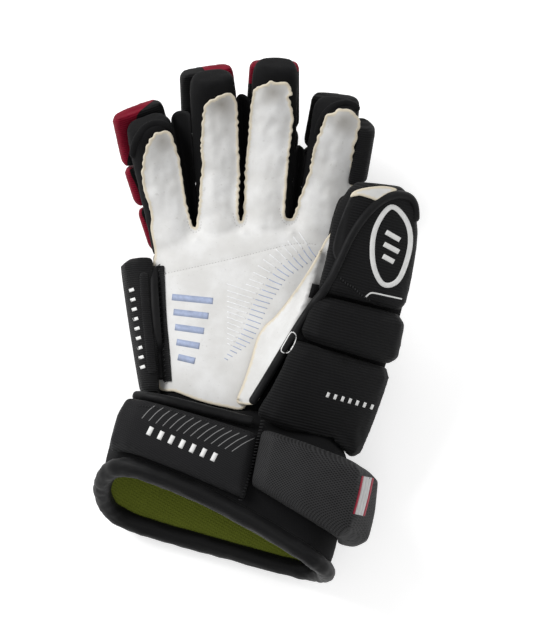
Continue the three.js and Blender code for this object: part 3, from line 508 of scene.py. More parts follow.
def box_gap(a, b):
    """The gap between the boxes of two objects."""
    corners = [points_of(o) for o in (a, b)]
    gaps = np.maximum(corners[0].min(0) - corners[1].max(0), corners[1].min(0) - corners[0].max(0))
    return float(np.linalg.norm(np.maximum(gaps, 0)))


limits = {name: room(made[name], BLOCKS[name][0], BLOCKS[name][2]) for name in made}
print("held points:", sum(int((limit == 0).sum()) for limit in limits.values()))

# %% Fill the blocks
for name, piece in made.items():
    held = piece.vertex_groups.new(name="seat")
    held.add([int(i) for i in np.flatnonzero(limits[name] == 0)], 1.0, "REPLACE")
    cloth = piece.modifiers.new("Cloth", "CLOTH")
    cloth.settings.use_pressure = True
    cloth.settings.uniform_pressure_force = 4.0
    cloth.settings.vertex_group_mass = "seat"
    cloth.settings.mass = 0.05
    cloth.settings.tension_stiffness = 8
    cloth.settings.compression_stiffness = 8
    cloth.settings.effector_weights.gravity = 0
    cloth.point_cache.frame_start = 1
    cloth.point_cache.frame_end = 20
for number in range(1, 21):
    scene.frame_set(number)
graph = bpy.context.evaluated_depsgraph_get()
for name, piece in made.items():
    start = points_of(piece)
    swollen = piece.evaluated_get(graph).to_mesh()
    flat = np.zeros(len(start) * 3)
    swollen.vertices.foreach_get("co", flat)
    step = flat.reshape(-1, 3) - start
    piece.evaluated_get(graph).to_mesh_clear()
    length = np.linalg.norm(step, axis=1)
    print(name, "swells up to", round(float(length.max()) / MM, 2), "mm, mean", round(float(length.mean()) / MM, 2))
    share = np.minimum(1, limits[name] / np.maximum(length, 1e-9))
    piece.modifiers.remove(piece.modifiers["Cloth"])
    set_points(piece, start + step * share[:, None])
scene.frame_set(1)

# %% Finish the blocks
for name, piece in made.items():
    modify(piece, "SMOOTH", factor=0.5, iterations=2)
    modify(piece, "SUBSURF", levels=1, render_levels=1)
    points = points_of(piece)
    points[:, 2] = np.maximum(points[:, 2], 0.0001)
    set_points(piece, points)
print("faces of all blocks:", sum(len(p.data.polygons) for p in made.values()))

# %% [markdown]
# ## Covers with two dyes
# Red nylon shows only on some faces of the finger blocks: the outer side of the little finger and the
# ends of the ring and middle fingers. A cover is one piece, and its material changes dye at a plane
# that lies where the real seam runs, with a thin dark line for the seam.
# %% Two dyes
def two_dyes(name, across, point, towards, run, weft):
    """Ribbed black cloth that turns to coated red beyond a plane."""
    material = fabric(name, *BLACK, run, weft, spacing=1.5)
    tree = material.node_tree
    shader = tree.nodes["Principled BSDF"]
    place = tree.nodes["Texture Coordinate"].outputs["Object"]
    black = shader.inputs["Base Color"].links[0].from_socket
    cloud = make(tree, "TexNoise", {"Vector": place, "Scale": 130.0, "Detail": 3.0})
    red = blend(tree, cloud.outputs["Fac"], (*RED[0], 1), (*RED[1], 1))
    beyond = calc(tree, "SUBTRACT", along(tree, place, unit(towards)), Vector(point).dot(Vector(unit(towards))))
    side = ramp(tree, beyond, -0.0001, 0.0001)
    seam = ramp(tree, calc(tree, "ABSOLUTE", beyond), 0.0003, 0.0006)
    colour = blend(tree, side, black, red)
    tree.links.new(blend(tree, seam, (0.004, 0.004, 0.004, 1), colour), shader.inputs["Base Color"])
    return material


RED_SIDES = {  # share of the length, across and palm place of the plane in mm, and the way to the red side
    "pinky_base_roll": (0.17, 0, -17.5, (-0.35, 0, -1)), "pinky_middle_roll": (0.47, 0, -17.5, (-0.35, 0, -1)),
    "pinky_tip_roll": (0.85, 0, -16.5, (-0.5, 0.25, -1)), "ring_tip_roll": (0.9, -1, -14, (1, 0.12, -0.1)),
    "middle_tip_roll": (0.83, -6, -20, (-0.3, 1, -0.2)),
}
black_cover = {finger: fabric(f"{finger}_ribbed_black", *BLACK, *line_frame(finger, LINES[finger][3] * 0.6)[1:3],
                              spacing=1.5) for finger in FINGERS}
for finger in FINGERS:
    for part in ("base", "middle", "tip"):
        source = f"{finger}_{part}_roll"
        if source in RED_SIDES:
            share, x, z, towards = RED_SIDES[source]
            _, ahead, across, palm = line_frame(finger, LINES[finger][3] * share)
            towards = across * towards[0] + ahead * towards[1] + palm * towards[2]
            cover = two_dyes(source + "_cloth", finger, beside(finger, LINES[finger][3] * share, x, z), towards,
                             ahead, across)
        else:
            cover = black_cover[finger]
        slot = "red_cover" if source.startswith("pinky") or source in RED_SIDES else "black_cover"
        finished(made[source + "_cover"], cover, slot, source)
print("two-dye covers:", len(RED_SIDES))

# %% Covers of the other blocks
thumb_ahead, thumb_across = line_frame("thumb", 80)[1:3]
hand_black = fabric("hand_ribbed_black", *BLACK, Y, X, spacing=1.5)
side_black = fabric("side_ribbed_black", *BLACK, Y, Z, spacing=1.5)
thumb_black = fabric("thumb_ribbed_black", *BLACK, thumb_ahead, thumb_across, spacing=1.9)
flap_black = fabric("flap_ribbed_black", (0.004, 0.004, 0.0045), (0.016, 0.016, 0.017), (0.5, 0.85, 0),
                    (0.85, -0.5, 0), spacing=1.3, relief=0.3)
mesh_black = fabric("cuff_mesh_black", (0.001, 0.001, 0.0011), (0.036, 0.036, 0.037), (0.25, 0.97, 0),
                    (0.8, -0.22, 0.55), pattern="Open mesh", spacing=1.8, relief=0.6)
COVERS = {
    "index_side_pad": black_cover["index"], "wrist_roll": hand_black, "back_roll": hand_black,
    "knuckle_roll": hand_black, "side_pad": side_black, "thumb_guard_base": thumb_black,
    "thumb_guard_middle": thumb_black, "thumb_guard_tip": thumb_black, "cuff_front_pad": flap_black,
    "cuff_thumb_pad": mesh_black, "cuff_back_pad": hand_black,
}
for source, cover in COVERS.items():
    finished(made[source + "_cover"], cover, "black_cover", source)
print("covered:", len(made))

# %% [markdown]
# ## The knitted inner glove
# Hand, fingers, thumb and cuff are tubes of one knitted fabric, open where the hand goes in. Their
# solids are already rings of points, so the loose triangles are joined to quads again and a subdivision
# surface rounds them. A slow noise then gives the fabric its soft dents.
# %% Tubes
TUBES = {
    "hand_shell": ("hand_tube", "mesh_fabric"), "thumb_stall": ("thumb_tube", "mesh_fabric"),
    "cuff_shell": ("cuff_tube", "mesh_fabric"), "cuff_liner": ("cuff_lining", "green_lining"),
    **{f"{finger}_stall": (f"{finger}_tube", "mesh_fabric") for finger in FINGERS},
}
soft_black = fabric("soft_knit_black", (0.0025, 0.0025, 0.0027), (0.007, 0.007, 0.0075), Y, X, pattern="Knit",
                    spacing=1.1, relief=0.12, roughness=0.8, rub_and_highlight_amount=0.1)
lining_green = fabric("green_knit", (0.075, 0.095, 0.011), (0.155, 0.185, 0.024), (0.5, 0.86, 0), (0.86, -0.5, 0.2),
                      pattern="Knit", spacing=2.0, relief=0.4, roughness=0.85, rub_and_highlight_colour=(0.16, 0.2, 0.04))
dents = bpy.data.textures.new("dents", "CLOUDS")
dents.noise_scale = 0.014


def dented(piece, depth):
    """Soft irregular dents of a depth in millimetres."""
    modify(piece, "DISPLACE", texture=dents, texture_coords="GLOBAL", strength=depth * MM, mid_level=0.5)


tubes = {}
for source, (name, slot) in TUBES.items():
    piece = copied(name, source, quads=True)
    if source == "cuff_liner":
        points = points_of(piece)
        points[points[:, 1] > -0.065, 1] -= 0.003
        set_points(piece, points)
    modify(piece, "SUBSURF", levels=2, render_levels=2)
    if source.endswith("stall"):
        dented(piece, 1.2)
    tubes[source] = finished(piece, lining_green if slot == "green_lining" else soft_black, slot, source)
print("tube faces:", sum(len(p.data.polygons) for p in tubes.values()))

# %% [markdown]
# ## Lines of sight
# Flat things such as leather, prints and seams are placed by the picture: a place in the picture is a
# line of sight, and the thing lies where that line meets the surface that carries it. `smooth_line`
# turns a few chosen places into a smooth line with even steps, as a flexible ruler does.
# %% Smooth lines and drops
def smooth_line(points, step, closed=False):
    """A smooth line through places of the picture, resampled at even steps of so many pixels."""
    points = np.asarray(points, float)
    if closed:
        ring = np.vstack([points[-1:], points, points[:2]])
    else:
        ring = np.vstack([2 * points[:1] - points[1:2], points, 2 * points[-1:] - points[-2:-1]])
    t = np.linspace(0, 1, 12, endpoint=False)[:, None]
    fine = []
    for a, b, c, d in zip(ring, ring[1:], ring[2:], ring[3:]):
        fine.append((2 * b + (c - a) * t + (2 * a - 5 * b + 4 * c - d) * t**2 + (3 * b - a - 3 * c + d) * t**3) / 2)
    fine = np.vstack([*fine, points[:1] if closed else points[-1:]])
    length = np.append(0, np.cumsum(np.linalg.norm(np.diff(fine, axis=0), axis=1)))
    stops = np.linspace(0, length[-1], max(2, round(length[-1] / step)) + 1)
    line = np.column_stack([np.interp(stops, length, fine[:, k]) for k in (0, 1)])
    return line[:-1] if closed else line


def depths(places, *carriers):
    """How far the lines of sight go to the nearest of some carriers. Each carrier comes with its lift in
    millimetres, and at will with the row of the picture that it begins at. Places that miss all of them
    take the depth of the nearest place that does not."""
    found = np.full(len(places), np.inf)
    for i, (u, v) in enumerate(places):
        for carrier, lift, *top in carriers:
            if top and v < top[0]:
                continue
            distance = carrier.ray_cast(EYE, sight(u, v))[3]
            if distance is not None:
                found[i] = min(found[i], distance - lift * MM)
    known, missed = np.flatnonzero(np.isfinite(found)), np.flatnonzero(~np.isfinite(found))
    if len(missed):
        gap = ((places[missed][:, None] - places[known][None]) ** 2).sum(2)
        found[missed] = found[known[gap.argmin(1)]]
    return found


def in_space(places, depth):
    """Points on the lines of sight at given distances."""
    return np.array([EYE + sight(u, v) * d for (u, v), d in zip(places, depth)])


def side_steps(line, closed=False):
    """The unit step to the left of a line at each of its places."""
    ahead = np.roll(line, -1, axis=0) - np.roll(line, 1, axis=0) if closed else np.gradient(line, axis=0)
    ahead /= np.maximum(np.linalg.norm(ahead, axis=1, keepdims=True), 1e-9)
    return np.column_stack([ahead[:, 1], -ahead[:, 0]])


def mesh_piece(name, points, faces):
    """A new object from points and faces."""
    data = bpy.data.meshes.new(name)
    data.from_pydata([tuple(p) for p in points], [], [tuple(f) for f in faces])
    piece = bpy.data.objects.new(name, data)
    scene.collection.objects.link(piece)
    return piece


print("line tools ready")

# %% [markdown]
# ## Cutting leather
# The palm and the fingers' fronts are one cut of suede. Its outline is a list of places chosen round the
# picture, from the little finger to the index and back under the thumb. The fingers' edges are left
# raw and ruffle, which a small wave along the outline gives. The inside is filled with an even grid, the
# whole is joined to triangles, dropped on the hand and relaxed so that it spans hollows like a real skin.
# %% The cutter
def inside(places, loop):
    """Which places lie within a closed line."""
    odd = np.zeros(len(places), bool)
    for (ax, ay), (bx, by) in zip(loop, np.roll(loop, -1, axis=0)):
        crosses = (ay > places[:, 1]) != (by > places[:, 1])
        odd ^= crosses & (places[:, 0] < ax + (places[:, 1] - ay) * (bx - ax) / (by - ay + 1e-12))
    return odd


def hex_grid(loop, step):
    """Evenly spaced places inside a closed line."""
    (left, top), (right, bottom) = loop.min(0), loop.max(0)
    rows = np.arange(top, bottom, step * 0.866)
    places = [(u + step / 2 * (i % 2), v) for i, v in enumerate(rows) for u in np.arange(left, right, step)]
    places = np.array(places)
    return places[inside(places, loop[::3])]


def outward(loop):
    """The unit step out of a closed line at each of its places."""
    ahead = np.roll(loop, -1, axis=0)
    area = (loop[:, 0] * ahead[:, 1] - ahead[:, 0] * loop[:, 1]).sum()
    return side_steps(loop, closed=True) * np.sign(area)


def search(places):
    tree = KDTree(len(places))
    for i, (u, v) in enumerate(places):
        tree.insert((u, v, 0), i)
    tree.balance()
    return tree


def away(tree, places):
    """How far places lie from the nearest one of a search tree, in pixels."""
    return np.array([tree.find((u, v, 0))[2] for u, v in places])


def cut_sheet(name, loop, carriers, thick, grid=1.9, relax=10, relief=None, darkened_spots=(), held=()):
    """A sheet cut along a closed line of the picture and laid on carriers. relief gives heights in mm, and
    the border along held stays down."""
    border = search(loop)
    rim = loop - outward(loop) * 1.6
    inner = hex_grid(loop, grid)
    rim, inner = rim[away(border, rim) > 1.3], inner[away(border, inner) > 2.4]
    flat = [Vector(p) for p in np.vstack([loop, rim, inner])]
    flat, _, faces, *_ = delaunay_2d_cdt(flat, [], [list(range(len(loop)))], 1, 1e-4)
    places = np.array([tuple(p) for p in flat])
    ground = depths(places, *carriers)
    pairs = np.array([(face[i], face[i - 1]) for face in faces for i in range(3)])
    pairs = np.vstack([pairs, pairs[:, ::-1]])
    count = np.bincount(pairs[:, 0], minlength=len(places))
    depth = ground.copy()
    down = away(search(held), places) < 2.4 if len(held) else np.zeros(len(places), bool)
    for _ in range(relax):
        total = np.bincount(pairs[:, 0], depth[pairs[:, 1]], len(places))
        depth = np.where(down, ground, np.minimum(ground, total / np.maximum(count, 1)))
    distance = away(border, places)
    if relief:
        depth = depth - relief(places, distance) * MM
    piece = mesh_piece(name, in_space(places, depth), faces)
    edge = piece.data.attributes.new("edge", "FLOAT", "POINT")
    edge.data.foreach_set("value", (distance < 1.7).astype(np.float32))
    turned = piece.data.attributes.new("turned", "FLOAT", "POINT")
    # a share, 1 at each given spot and 0 at its radius, by which the suede turns darker
    tip_darkening = np.zeros(len(places))
    for u, v, radius in darkened_spots:
        tip_darkening = np.maximum(tip_darkening, 1 - np.hypot(places[:, 0] - u, places[:, 1] - v) / radius)
    turned.data.foreach_set("value", tip_darkening.astype(np.float32))
    area = sum(p.area for p in piece.data.polygons)
    if sum(p.normal.z * p.area for p in piece.data.polygons) < 0:
        piece.data.flip_normals()
    modify(piece, "SOLIDIFY", thickness=thick * MM, offset=-1)
    print(name, "vertices:", len(piece.data.vertices), "area in square metres:", round(area, 5))
    return piece, area


print("cutter ready")

# %% Palm and finger fronts
PALM_OUTLINE = [  # the little finger
    (153, 263.6), (154.6, 252), (150.7, 229.6), (151.4, 217), (148.4, 202.9), (144.8, 192.1), (142.7, 181.4),
    (142.5, 170.7), (143.6, 158.2), (146.6, 147.5), (150.2, 140.4), (155.5, 134.1), (161.8, 131.8), (167.1, 131.4),
    (171.6, 135), (175.2, 145.7), (178.8, 156.4), (182.3, 177.9), (185.9, 201.1), (191.3, 223.4), (194.3, 227),
    # the ring finger
    (196.6, 224.3), (199.3, 201.1), (200.2, 185), (202.5, 165.4), (201.1, 150), (202.5, 122.5), (204.6, 106.4),
    (209.1, 102), (215.4, 98.4), (221.6, 95.7), (227, 93.6), (232.3, 94.3), (236.4, 102), (237.7, 118.9),
    (238.2, 145.7), (239.5, 174.3), (238.2, 202.9), (238.2, 213.6), (240.4, 220.7),
    # the middle finger
    (243, 217.1), (243.9, 202.9), (245.2, 170.7), (248.4, 138.6), (250.2, 113.6), (252.9, 93.9), (255.5, 88.6),
    (261.8, 85.4), (267.1, 84.1), (270.7, 81.1), (276.1, 83.2), (282.3, 82.3), (287.7, 83.6), (291.8, 93),
    (289.1, 98.4), (293, 115.4), (291.3, 136.8), (288.6, 160), (286.8, 181.4), (284.6, 211.8), (288.6, 218.9),
    # the index finger
    (293.9, 215.4), (302, 192.1), (309.1, 172.5), (314.5, 147.5), (323.4, 122.5), (326.1, 115.4), (332.3, 113.6),
    (336.8, 110), (342.1, 108.8), (349.3, 110), (354.6, 113.6), (359.1, 118.9), (360, 124.3), (356.4, 138.6),
    (352.9, 156.4), (353, 181.4),
    # under the thumb and along the cuff
    (353, 199), (347, 214), (337, 233), (327, 252), (316, 270), (297, 299), (280, 320), (268, 338), (259, 362),
    (252, 385), (244, 408), (225, 407), (200, 401), (176, 392), (158, 386), (155, 340), (152, 290),
]
RUFFLED_ABOVE = 222                # the edges of the fingers ruffle, those of the palm are sewn down
PALM_SEAM = smooth_line([(163, 274), (207, 264.4), (241, 256.5), (281.7, 246.3), (302.7, 243.2), (317, 244.6)], 1)
CROTCH_SEAMS = [smooth_line(line, 1) for line in (
    [(187, 219), (190, 229), (195, 232.5), (200, 229), (201.5, 219)],
    [(233, 214), (235.5, 224), (240.5, 227), (245.5, 223), (247.5, 213)],
    [(279.5, 209), (282, 220), (288.5, 225), (295.5, 221), (300, 211)],
)]
TURNED_TIPS = [(222, 104, 22), (345, 121, 20), (163, 141, 13), (273, 92, 16)]


def ruffled(loop, size, period=9.0):
    """A closed line with an uneven small wave along the fingers."""
    wave = []
    for i, (u, v) in enumerate(loop):
        strength = size * max(0.15, 0.6 + 1.6 * noise.noise((u / 18, v / 18, 0))) * (v < RUFFLED_ABOVE)
        wave.append(strength * math.sin(2 * math.pi * i * 1.3 / period + 9 * noise.noise((u / 25, v / 25, 7))))
    return loop + outward(loop) * np.array(wave)[:, None]


def palm_relief(places, distance):
    """Puckers, raised raw edges and the grooves of the seams, in millimetres."""
    seam = away(search(np.vstack([PALM_SEAM, *CROTCH_SEAMS])), places)
    height = []
    for (u, v), edge, groove in zip(places, distance, seam):
        finger = min(1, max(0, (240 - v) / 30))
        soft = 0.8 * noise.noise((u / 16, v / 26, 1)) + 0.5 * noise.noise((u / 8, v / 12, 4))
        broad = 0.5 * noise.noise((u / 45, v / 45, 2))
        lip = 0.5 * max(0, 1 - edge / 2.5) * finger
        height.append(soft * (0.3 + 0.9 * finger) + broad + lip - 0.45 * max(0, 1 - groove / 2.2))
    return np.array(height)


hand_skin = skin(tubes["hand_shell"], *(tubes[f"{finger}_stall"] for finger in FINGERS))
palm_loop = ruffled(smooth_line(PALM_OUTLINE, 1.3, closed=True), 0.6)
palm, palm_area = cut_sheet("palm_suede", palm_loop, [(hand_skin, 1.9)], 1.1, grid=1.8, relax=30, relief=palm_relief,
                            darkened_spots=TURNED_TIPS)
finished(palm, white_suede, "white_leather", "palm_panel")

# %% [markdown]
# ## The leather of the thumb
# A second cut of suede lies over the palm's edge: its raw cream border lands on the palm and its other
# side goes under the rolled edge of the thumb plates. At the tip it wraps round to the index finger.
# %% Thumb leather
THUMB_OUTLINE = [  # the border on the palm, from the tip to the cuff
    (366, 191.5), (357.5, 190.5), (351.5, 194), (345.5, 209), (341.5, 217), (332, 231), (324.5, 241), (319.6, 251),
    (311, 266), (301, 282), (290, 297), (281.7, 308), (273, 318), (266, 324), (262, 329), (256.5, 339), (250, 362),
    (243, 383), (237, 402),
    # under the rolled edge, back to the tip
    (254, 404), (262, 394), (272, 374), (286, 353), (298, 332), (309, 313), (319, 298), (331, 280), (337, 262),
    (334, 255), (336, 238), (343, 224), (349, 210), (357, 199),
]
leather_skin = skin(nodes["thumb_leather"])
thumb_skin = skin(nodes["thumb_stall"])
palm_skin = skin(palm)


def thumb_relief(places, distance):
    return np.array([0.9 * noise.noise((u / 22, v / 22, 3)) + 0.25 * noise.noise((u / 7, v / 7, 5)) for u, v in places])


thumb_loop = smooth_line(THUMB_OUTLINE, 1.3, closed=True)
thumb_leather, thumb_area = cut_sheet("thumb_suede", thumb_loop, [(leather_skin, 0.2), (thumb_skin, 1.4),
                                      (palm_skin, 1.45, 270)], 1.1, grid=1.8, relax=70, relief=thumb_relief,
                                      held=smooth_line(THUMB_OUTLINE[10:19], 1.3))
finished(thumb_leather, white_suede, "white_leather", "thumb_leather")

# %% [markdown]
# ## Webs between the fingers
# The side walls of two neighbouring fingers meet in a soft valley of black knit, which hides the joint
# of their foam. A web is a sheet whose section hangs from the side of one finger to the side of the next.
# %% Webs
STALL_WIDTHS = {"pinky": (29, 33), "ring": (29.5, 32), "middle": (30, 32), "index": (29.5, 31)}
WEBS = [("pinky", "ring", 82, 88), ("ring", "middle", 92, 92), ("middle", "index", 60, 56)]


def stall_side(finger, s):
    start, end = STALL_WIDTHS[finger]
    return (start + (end - start) * s / LINES[finger][3]) / 2 + 0.5


for first, second, first_end, second_end in WEBS:
    points, rows, columns = [], 23, 11
    for i in range(rows):
        share = i / (rows - 1)
        a = beside(first, first_end * share, stall_side(first, first_end * share), -1)
        b = beside(second, second_end * share, -stall_side(second, second_end * share), -1)
        down = line_frame(first, first_end * share)[3] + line_frame(second, second_end * share)[3]
        for j in range(columns):
            across = j / (columns - 1)
            hang = 10.5 * math.sin(math.pi * across) ** 0.6 + 4 * max(0, share - 0.9) * 10 * math.sin(math.pi * across)
            points.append(a.lerp(b, across) - down.normalized() * hang * MM)
    faces = [(i * columns + j, i * columns + j + 1, (i + 1) * columns + j + 1, (i + 1) * columns + j)
             for i in range(rows - 1) for j in range(columns - 1)]
    web = mesh_piece(f"{first}_{second}_web", points, faces)
    modify(web, "SUBSURF", levels=1, render_levels=1)
    modify(web, "SOLIDIFY", thickness=0.0008, offset=0)
    finished(web, soft_black, "mesh_fabric")

# %% [markdown]
# ## Rolls, bands and stitches
# Three small makers do the trimmings. A roll is a round or flattened cord that lies along a line, a band
# is a thin flat strip such as tape or print, and stitches are short threads set at even steps. Each
# follows the surface under it, and all bands or stitches of one kind are a single mesh.
# %% Trimming makers
def roll(name, line, width, height, carriers, closed=False, sides=12, step=2.5):
    """A flattened round cord along a line of the picture; width and height are its half sizes in mm."""
    line = smooth_line(line, step, closed)
    depth = depths(line, *carriers)
    for _ in range(6):
        near = (np.roll(depth, 1) + depth + np.roll(depth, -1)) / 3
        depth = near if closed else np.concatenate([depth[:1], near[1:-1], depth[-1:]])
    centres = in_space(line, depth)
    ahead = np.roll(centres, -1, 0) - np.roll(centres, 1, 0) if closed else np.gradient(centres, axis=0)
    points, faces = [], []
    for i, (centre, way, (u, v)) in enumerate(zip(centres, ahead, line)):
        up = -sight(u, v)
        left = up.cross(Vector(way)).normalized()
        up = Vector(way).normalized().cross(left)
        last = len(line) - 1
        size = 1 if closed or 0 < i < last else 0.45
        for k in range(sides):
            angle = 2 * math.pi * k / sides
            points.append(Vector(centre) + (left * width * math.cos(angle) + up * height * math.sin(angle)) * size * MM)
    count = len(line)
    for i in range(count if closed else count - 1):
        a, b = i * sides, (i + 1) % count * sides
        faces += [(a + k, a + (k + 1) % sides, b + (k + 1) % sides, b + k) for k in range(sides)]
    if not closed:
        faces += [tuple(reversed(range(sides))), tuple(range((count - 1) * sides, count * sides))]
    piece = mesh_piece(name, points, faces)
    take(piece)
    bpy.ops.object.mode_set(mode="EDIT")
    bpy.ops.mesh.select_all(action="SELECT")
    bpy.ops.mesh.normals_make_consistent(inside=False)
    bpy.ops.object.mode_set(mode="OBJECT")
    modify(piece, "SUBSURF", levels=1, render_levels=1)
    return piece


def bands(name, lines, width, carriers, thick=0.05, closed=False, step=2.0):
    """Flat bands along lines of the picture; width is in pixels and thick in millimetres."""
    points, faces = [], []
    for line in lines:
        line = smooth_line(line, step, closed)
        left = side_steps(line, closed) * width / 2
        places = np.vstack([line + left, line, line - left])
        start, count = len(points), len(line)
        points += list(in_space(places, depths(places, *carriers)))
        for i in range(count if closed else count - 1):
            for row in (0, count):
                a, b = start + row + i, start + row + (i + 1) % count
                faces.append((a, b, b + count, a + count))
    piece = mesh_piece(name, points, faces)
    if sum(p.normal.z * p.area for p in piece.data.polygons) < 0:
        piece.data.flip_normals()
    modify(piece, "SOLIDIFY", thickness=thick * MM, offset=-1)
    return piece


def stitches(name, lines, carriers, length=1.7, spacing=2.6, width=0.45, lean=0.0):
    """Short threads along lines of the picture; length and spacing are in pixels, width in mm."""
    points, faces = [], []
    for line in lines:
        places = smooth_line(line, spacing)
        ahead = np.gradient(places, axis=0)
        ahead /= np.linalg.norm(ahead, axis=1, keepdims=True)
        turn = math.radians(lean)
        ahead = np.column_stack([ahead[:, 0] * math.cos(turn) - ahead[:, 1] * math.sin(turn),
                                 ahead[:, 0] * math.sin(turn) + ahead[:, 1] * math.cos(turn)])
        depth = depths(places, *carriers)
        starts = in_space(places - ahead * length / 2, depth)
        ends = in_space(places + ahead * length / 2, depth)
        for (u, v), a, b in zip(places, starts, ends):
            a, b, up = Vector(a), Vector(b), -sight(u, v)
            left = (b - a).cross(up).normalized() * width / 2 * MM
            up = up * width / 2 * MM
            n = len(points)
            for share in (0.2, 0.8):
                middle = a.lerp(b, share)
                points += [middle + left, middle + up, middle - left, middle - up]
            points += [a, b]
            faces += [(n + k, n + (k + 1) % 4, n + 4 + (k + 1) % 4, n + 4 + k) for k in range(4)]
            faces += [(n + 8, n + (k + 1) % 4, n + k) for k in range(4)]
            faces += [(n + 9, n + 4 + k, n + 4 + (k + 1) % 4) for k in range(4)]
    return mesh_piece(name, points, faces)


print("trimming makers ready")

# %% Plain finishes for print, thread and tape
def plain(name, colour, roughness, grain=0.15, metallic=0.0):
    """A smooth finish whose colour and gloss vary a little in soft clouds."""
    material = bpy.data.materials.new(name)
    material.use_nodes = True
    tree = material.node_tree
    shader = tree.nodes["Principled BSDF"]
    place = make(tree, "TexCoord").outputs["Object"]
    cloud = make(tree, "TexNoise", {"Vector": place, "Scale": 300.0, "Detail": 3.0}).outputs["Fac"]
    dark = tuple(c * (1 - grain) for c in colour)
    light = tuple(min(1, c * (1 + grain)) for c in colour)
    tree.links.new(blend(tree, cloud, (*dark, 1), (*light, 1)), shader.inputs["Base Color"])
    tree.links.new(calc(tree, "MULTIPLY_ADD", cloud, 0.15, roughness - 0.07).outputs[0], shader.inputs["Roughness"])
    bump = make(tree, "Bump", {"Height": cloud, "Strength": 0.4, "Distance": 0.05 * MM})
    tree.links.new(bump.outputs[0], shader.inputs["Normal"])
    shader.inputs["Metallic"].default_value = metallic
    shader.inputs["Specular IOR Level"].default_value = 0.25
    return material


tape_black = fabric("tape_black", (0.0025, 0.0025, 0.0027), (0.007, 0.007, 0.0075), Y, X, spacing=0.8, relief=0.04,
                    roughness=0.48, specular=0.13)
white_print = plain("white_print", (0.78, 0.78, 0.77), 0.5)
silver_print = plain("silver_blue_print", (0.36, 0.42, 0.58), 0.45, grain=0.35)
pearl_print = plain("pearl_print", (0.86, 0.87, 0.9), 0.35)
pale_thread = plain("pale_thread", (0.42, 0.41, 0.4), 0.6)
black_thread = plain("black_thread", (0.012, 0.012, 0.013), 0.45)
grey_print = plain("grey_print", (0.2, 0.2, 0.2), 0.5)
patch_grey = plain("patch_grey", (0.5, 0.5, 0.5), 0.5)
patch_red = plain("patch_red", (0.3, 0.008, 0.03), 0.55)
print("plain finishes ready")
# %% [markdown]
# ## The thumb's edges
# A thick rolled edge runs round the tip plate and down the side of the others. Between it and the white
# leather lies a small black lip of the same cloth, and strips of cloth hinge one plate to the next.
# %% Rolled edge, lip and hinges
guards = {part: made[f"thumb_guard_{part}_cover"] for part in ("base", "middle", "tip")}
guard_skin = skin(*guards.values())
piping_skin = skin(nodes["thumb_piping"])
THUMB_EDGE = [
    (415.5, 222), (415, 208), (411.5, 199.5), (405, 195.5), (395, 195), (384, 199), (372, 208), (360, 222), (350, 238),
    (343, 253), (337, 266), (331, 279), (323, 292), (314, 303), (303, 319), (291, 338), (279, 358), (267, 378),
    (259, 391), (251, 404),
]
edge_roll = roll("thumb_edge_roll", THUMB_EDGE, 3.0, 3.0, [(guard_skin, -0.6), (piping_skin, 0.2)])
finished(edge_roll, tape_black, "binding", "thumb_piping")

LIP_OUTLINE = [(360, 193), (351, 196), (345, 208), (339.5, 222), (335, 236), (332.5, 249), (335, 259), (340, 262),
               (347, 250), (356, 232), (366, 217), (377, 206), (379, 199), (370, 196)]
lip_skin = skin(nodes["thumb_leather"], nodes["thumb_guard_tip"], nodes["thumb_stall"])
lip, lip_area = cut_sheet("thumb_lip", smooth_line(LIP_OUTLINE, 1.3, closed=True),
                          [(lip_skin, 0.9), (skin(thumb_leather), 1.3)], 1.0, relax=16)
finished(lip, tape_black, "black_cover")

CAP_OUTLINE = [(350.5, 197), (353, 192), (360, 189), (370, 187), (382, 186), (391, 187), (397, 189.5), (392, 193),
               (385, 196), (377, 200.5), (369, 198), (359, 195.5)]
cap, cap_area = cut_sheet("thumb_cap", smooth_line(CAP_OUTLINE, 1.3, closed=True),
                          [(guard_skin, 0.6), (lip_skin, 2.0), (skin(thumb_leather, lip), 0.5)], 1.0, relax=16)
finished(cap, white_suede, "white_leather")

hinge_points, hinge_faces = [], []
for share in (0.3225, 0.5425):
    seat = (35 + (27 - 35) * share) / 2 + 0.4
    for side in (-1, 1):
        start = len(hinge_points)
        for i in range(13):
            for j in range(3):
                x = side * 3 * i + 3.4
                hinge_points.append(beside("thumb", 152 * share + 5 * (j - 1), x, seat - 1.4))
        hinge_faces += [(start + i * 3 + j, start + i * 3 + j + 1, start + i * 3 + j + 4, start + i * 3 + j + 3)
                        for i in range(12) for j in range(2)]
hinges = mesh_piece("thumb_hinges", hinge_points, hinge_faces)
modify(hinges, "SOLIDIFY", thickness=0.0008, offset=0)
finished(hinges, soft_black, "black_cover")
print("thumb edges done")

# %% [markdown]
# ## Cuff bindings
# The opening is bound with a wide tape that is pulled tight over foam, so it puckers. The solid ring is
# copied, rounded and pushed in and out by a fine cloud texture. The roll above the palm-side flap is
# smoother.
# %% Cuff bindings
puckers = bpy.data.textures.new("puckers", "CLOUDS")
puckers.noise_scale = 0.006
for source, name, pucker, swell in (("cuff_binding", "opening_binding", 1.6, 2.2),
                                    ("cuff_front_roll", "flap_roll", 0.5, 0.3)):
    piece = copied(name, source, quads=True)
    modify(piece, "SUBSURF", levels=3, render_levels=3)
    modify(piece, "DISPLACE", strength=swell * MM, mid_level=0)
    modify(piece, "DISPLACE", texture=puckers, texture_coords="GLOBAL", strength=pucker * MM, mid_level=0.5)
    finished(piece, tape_black, "binding", source)
print("bindings done")

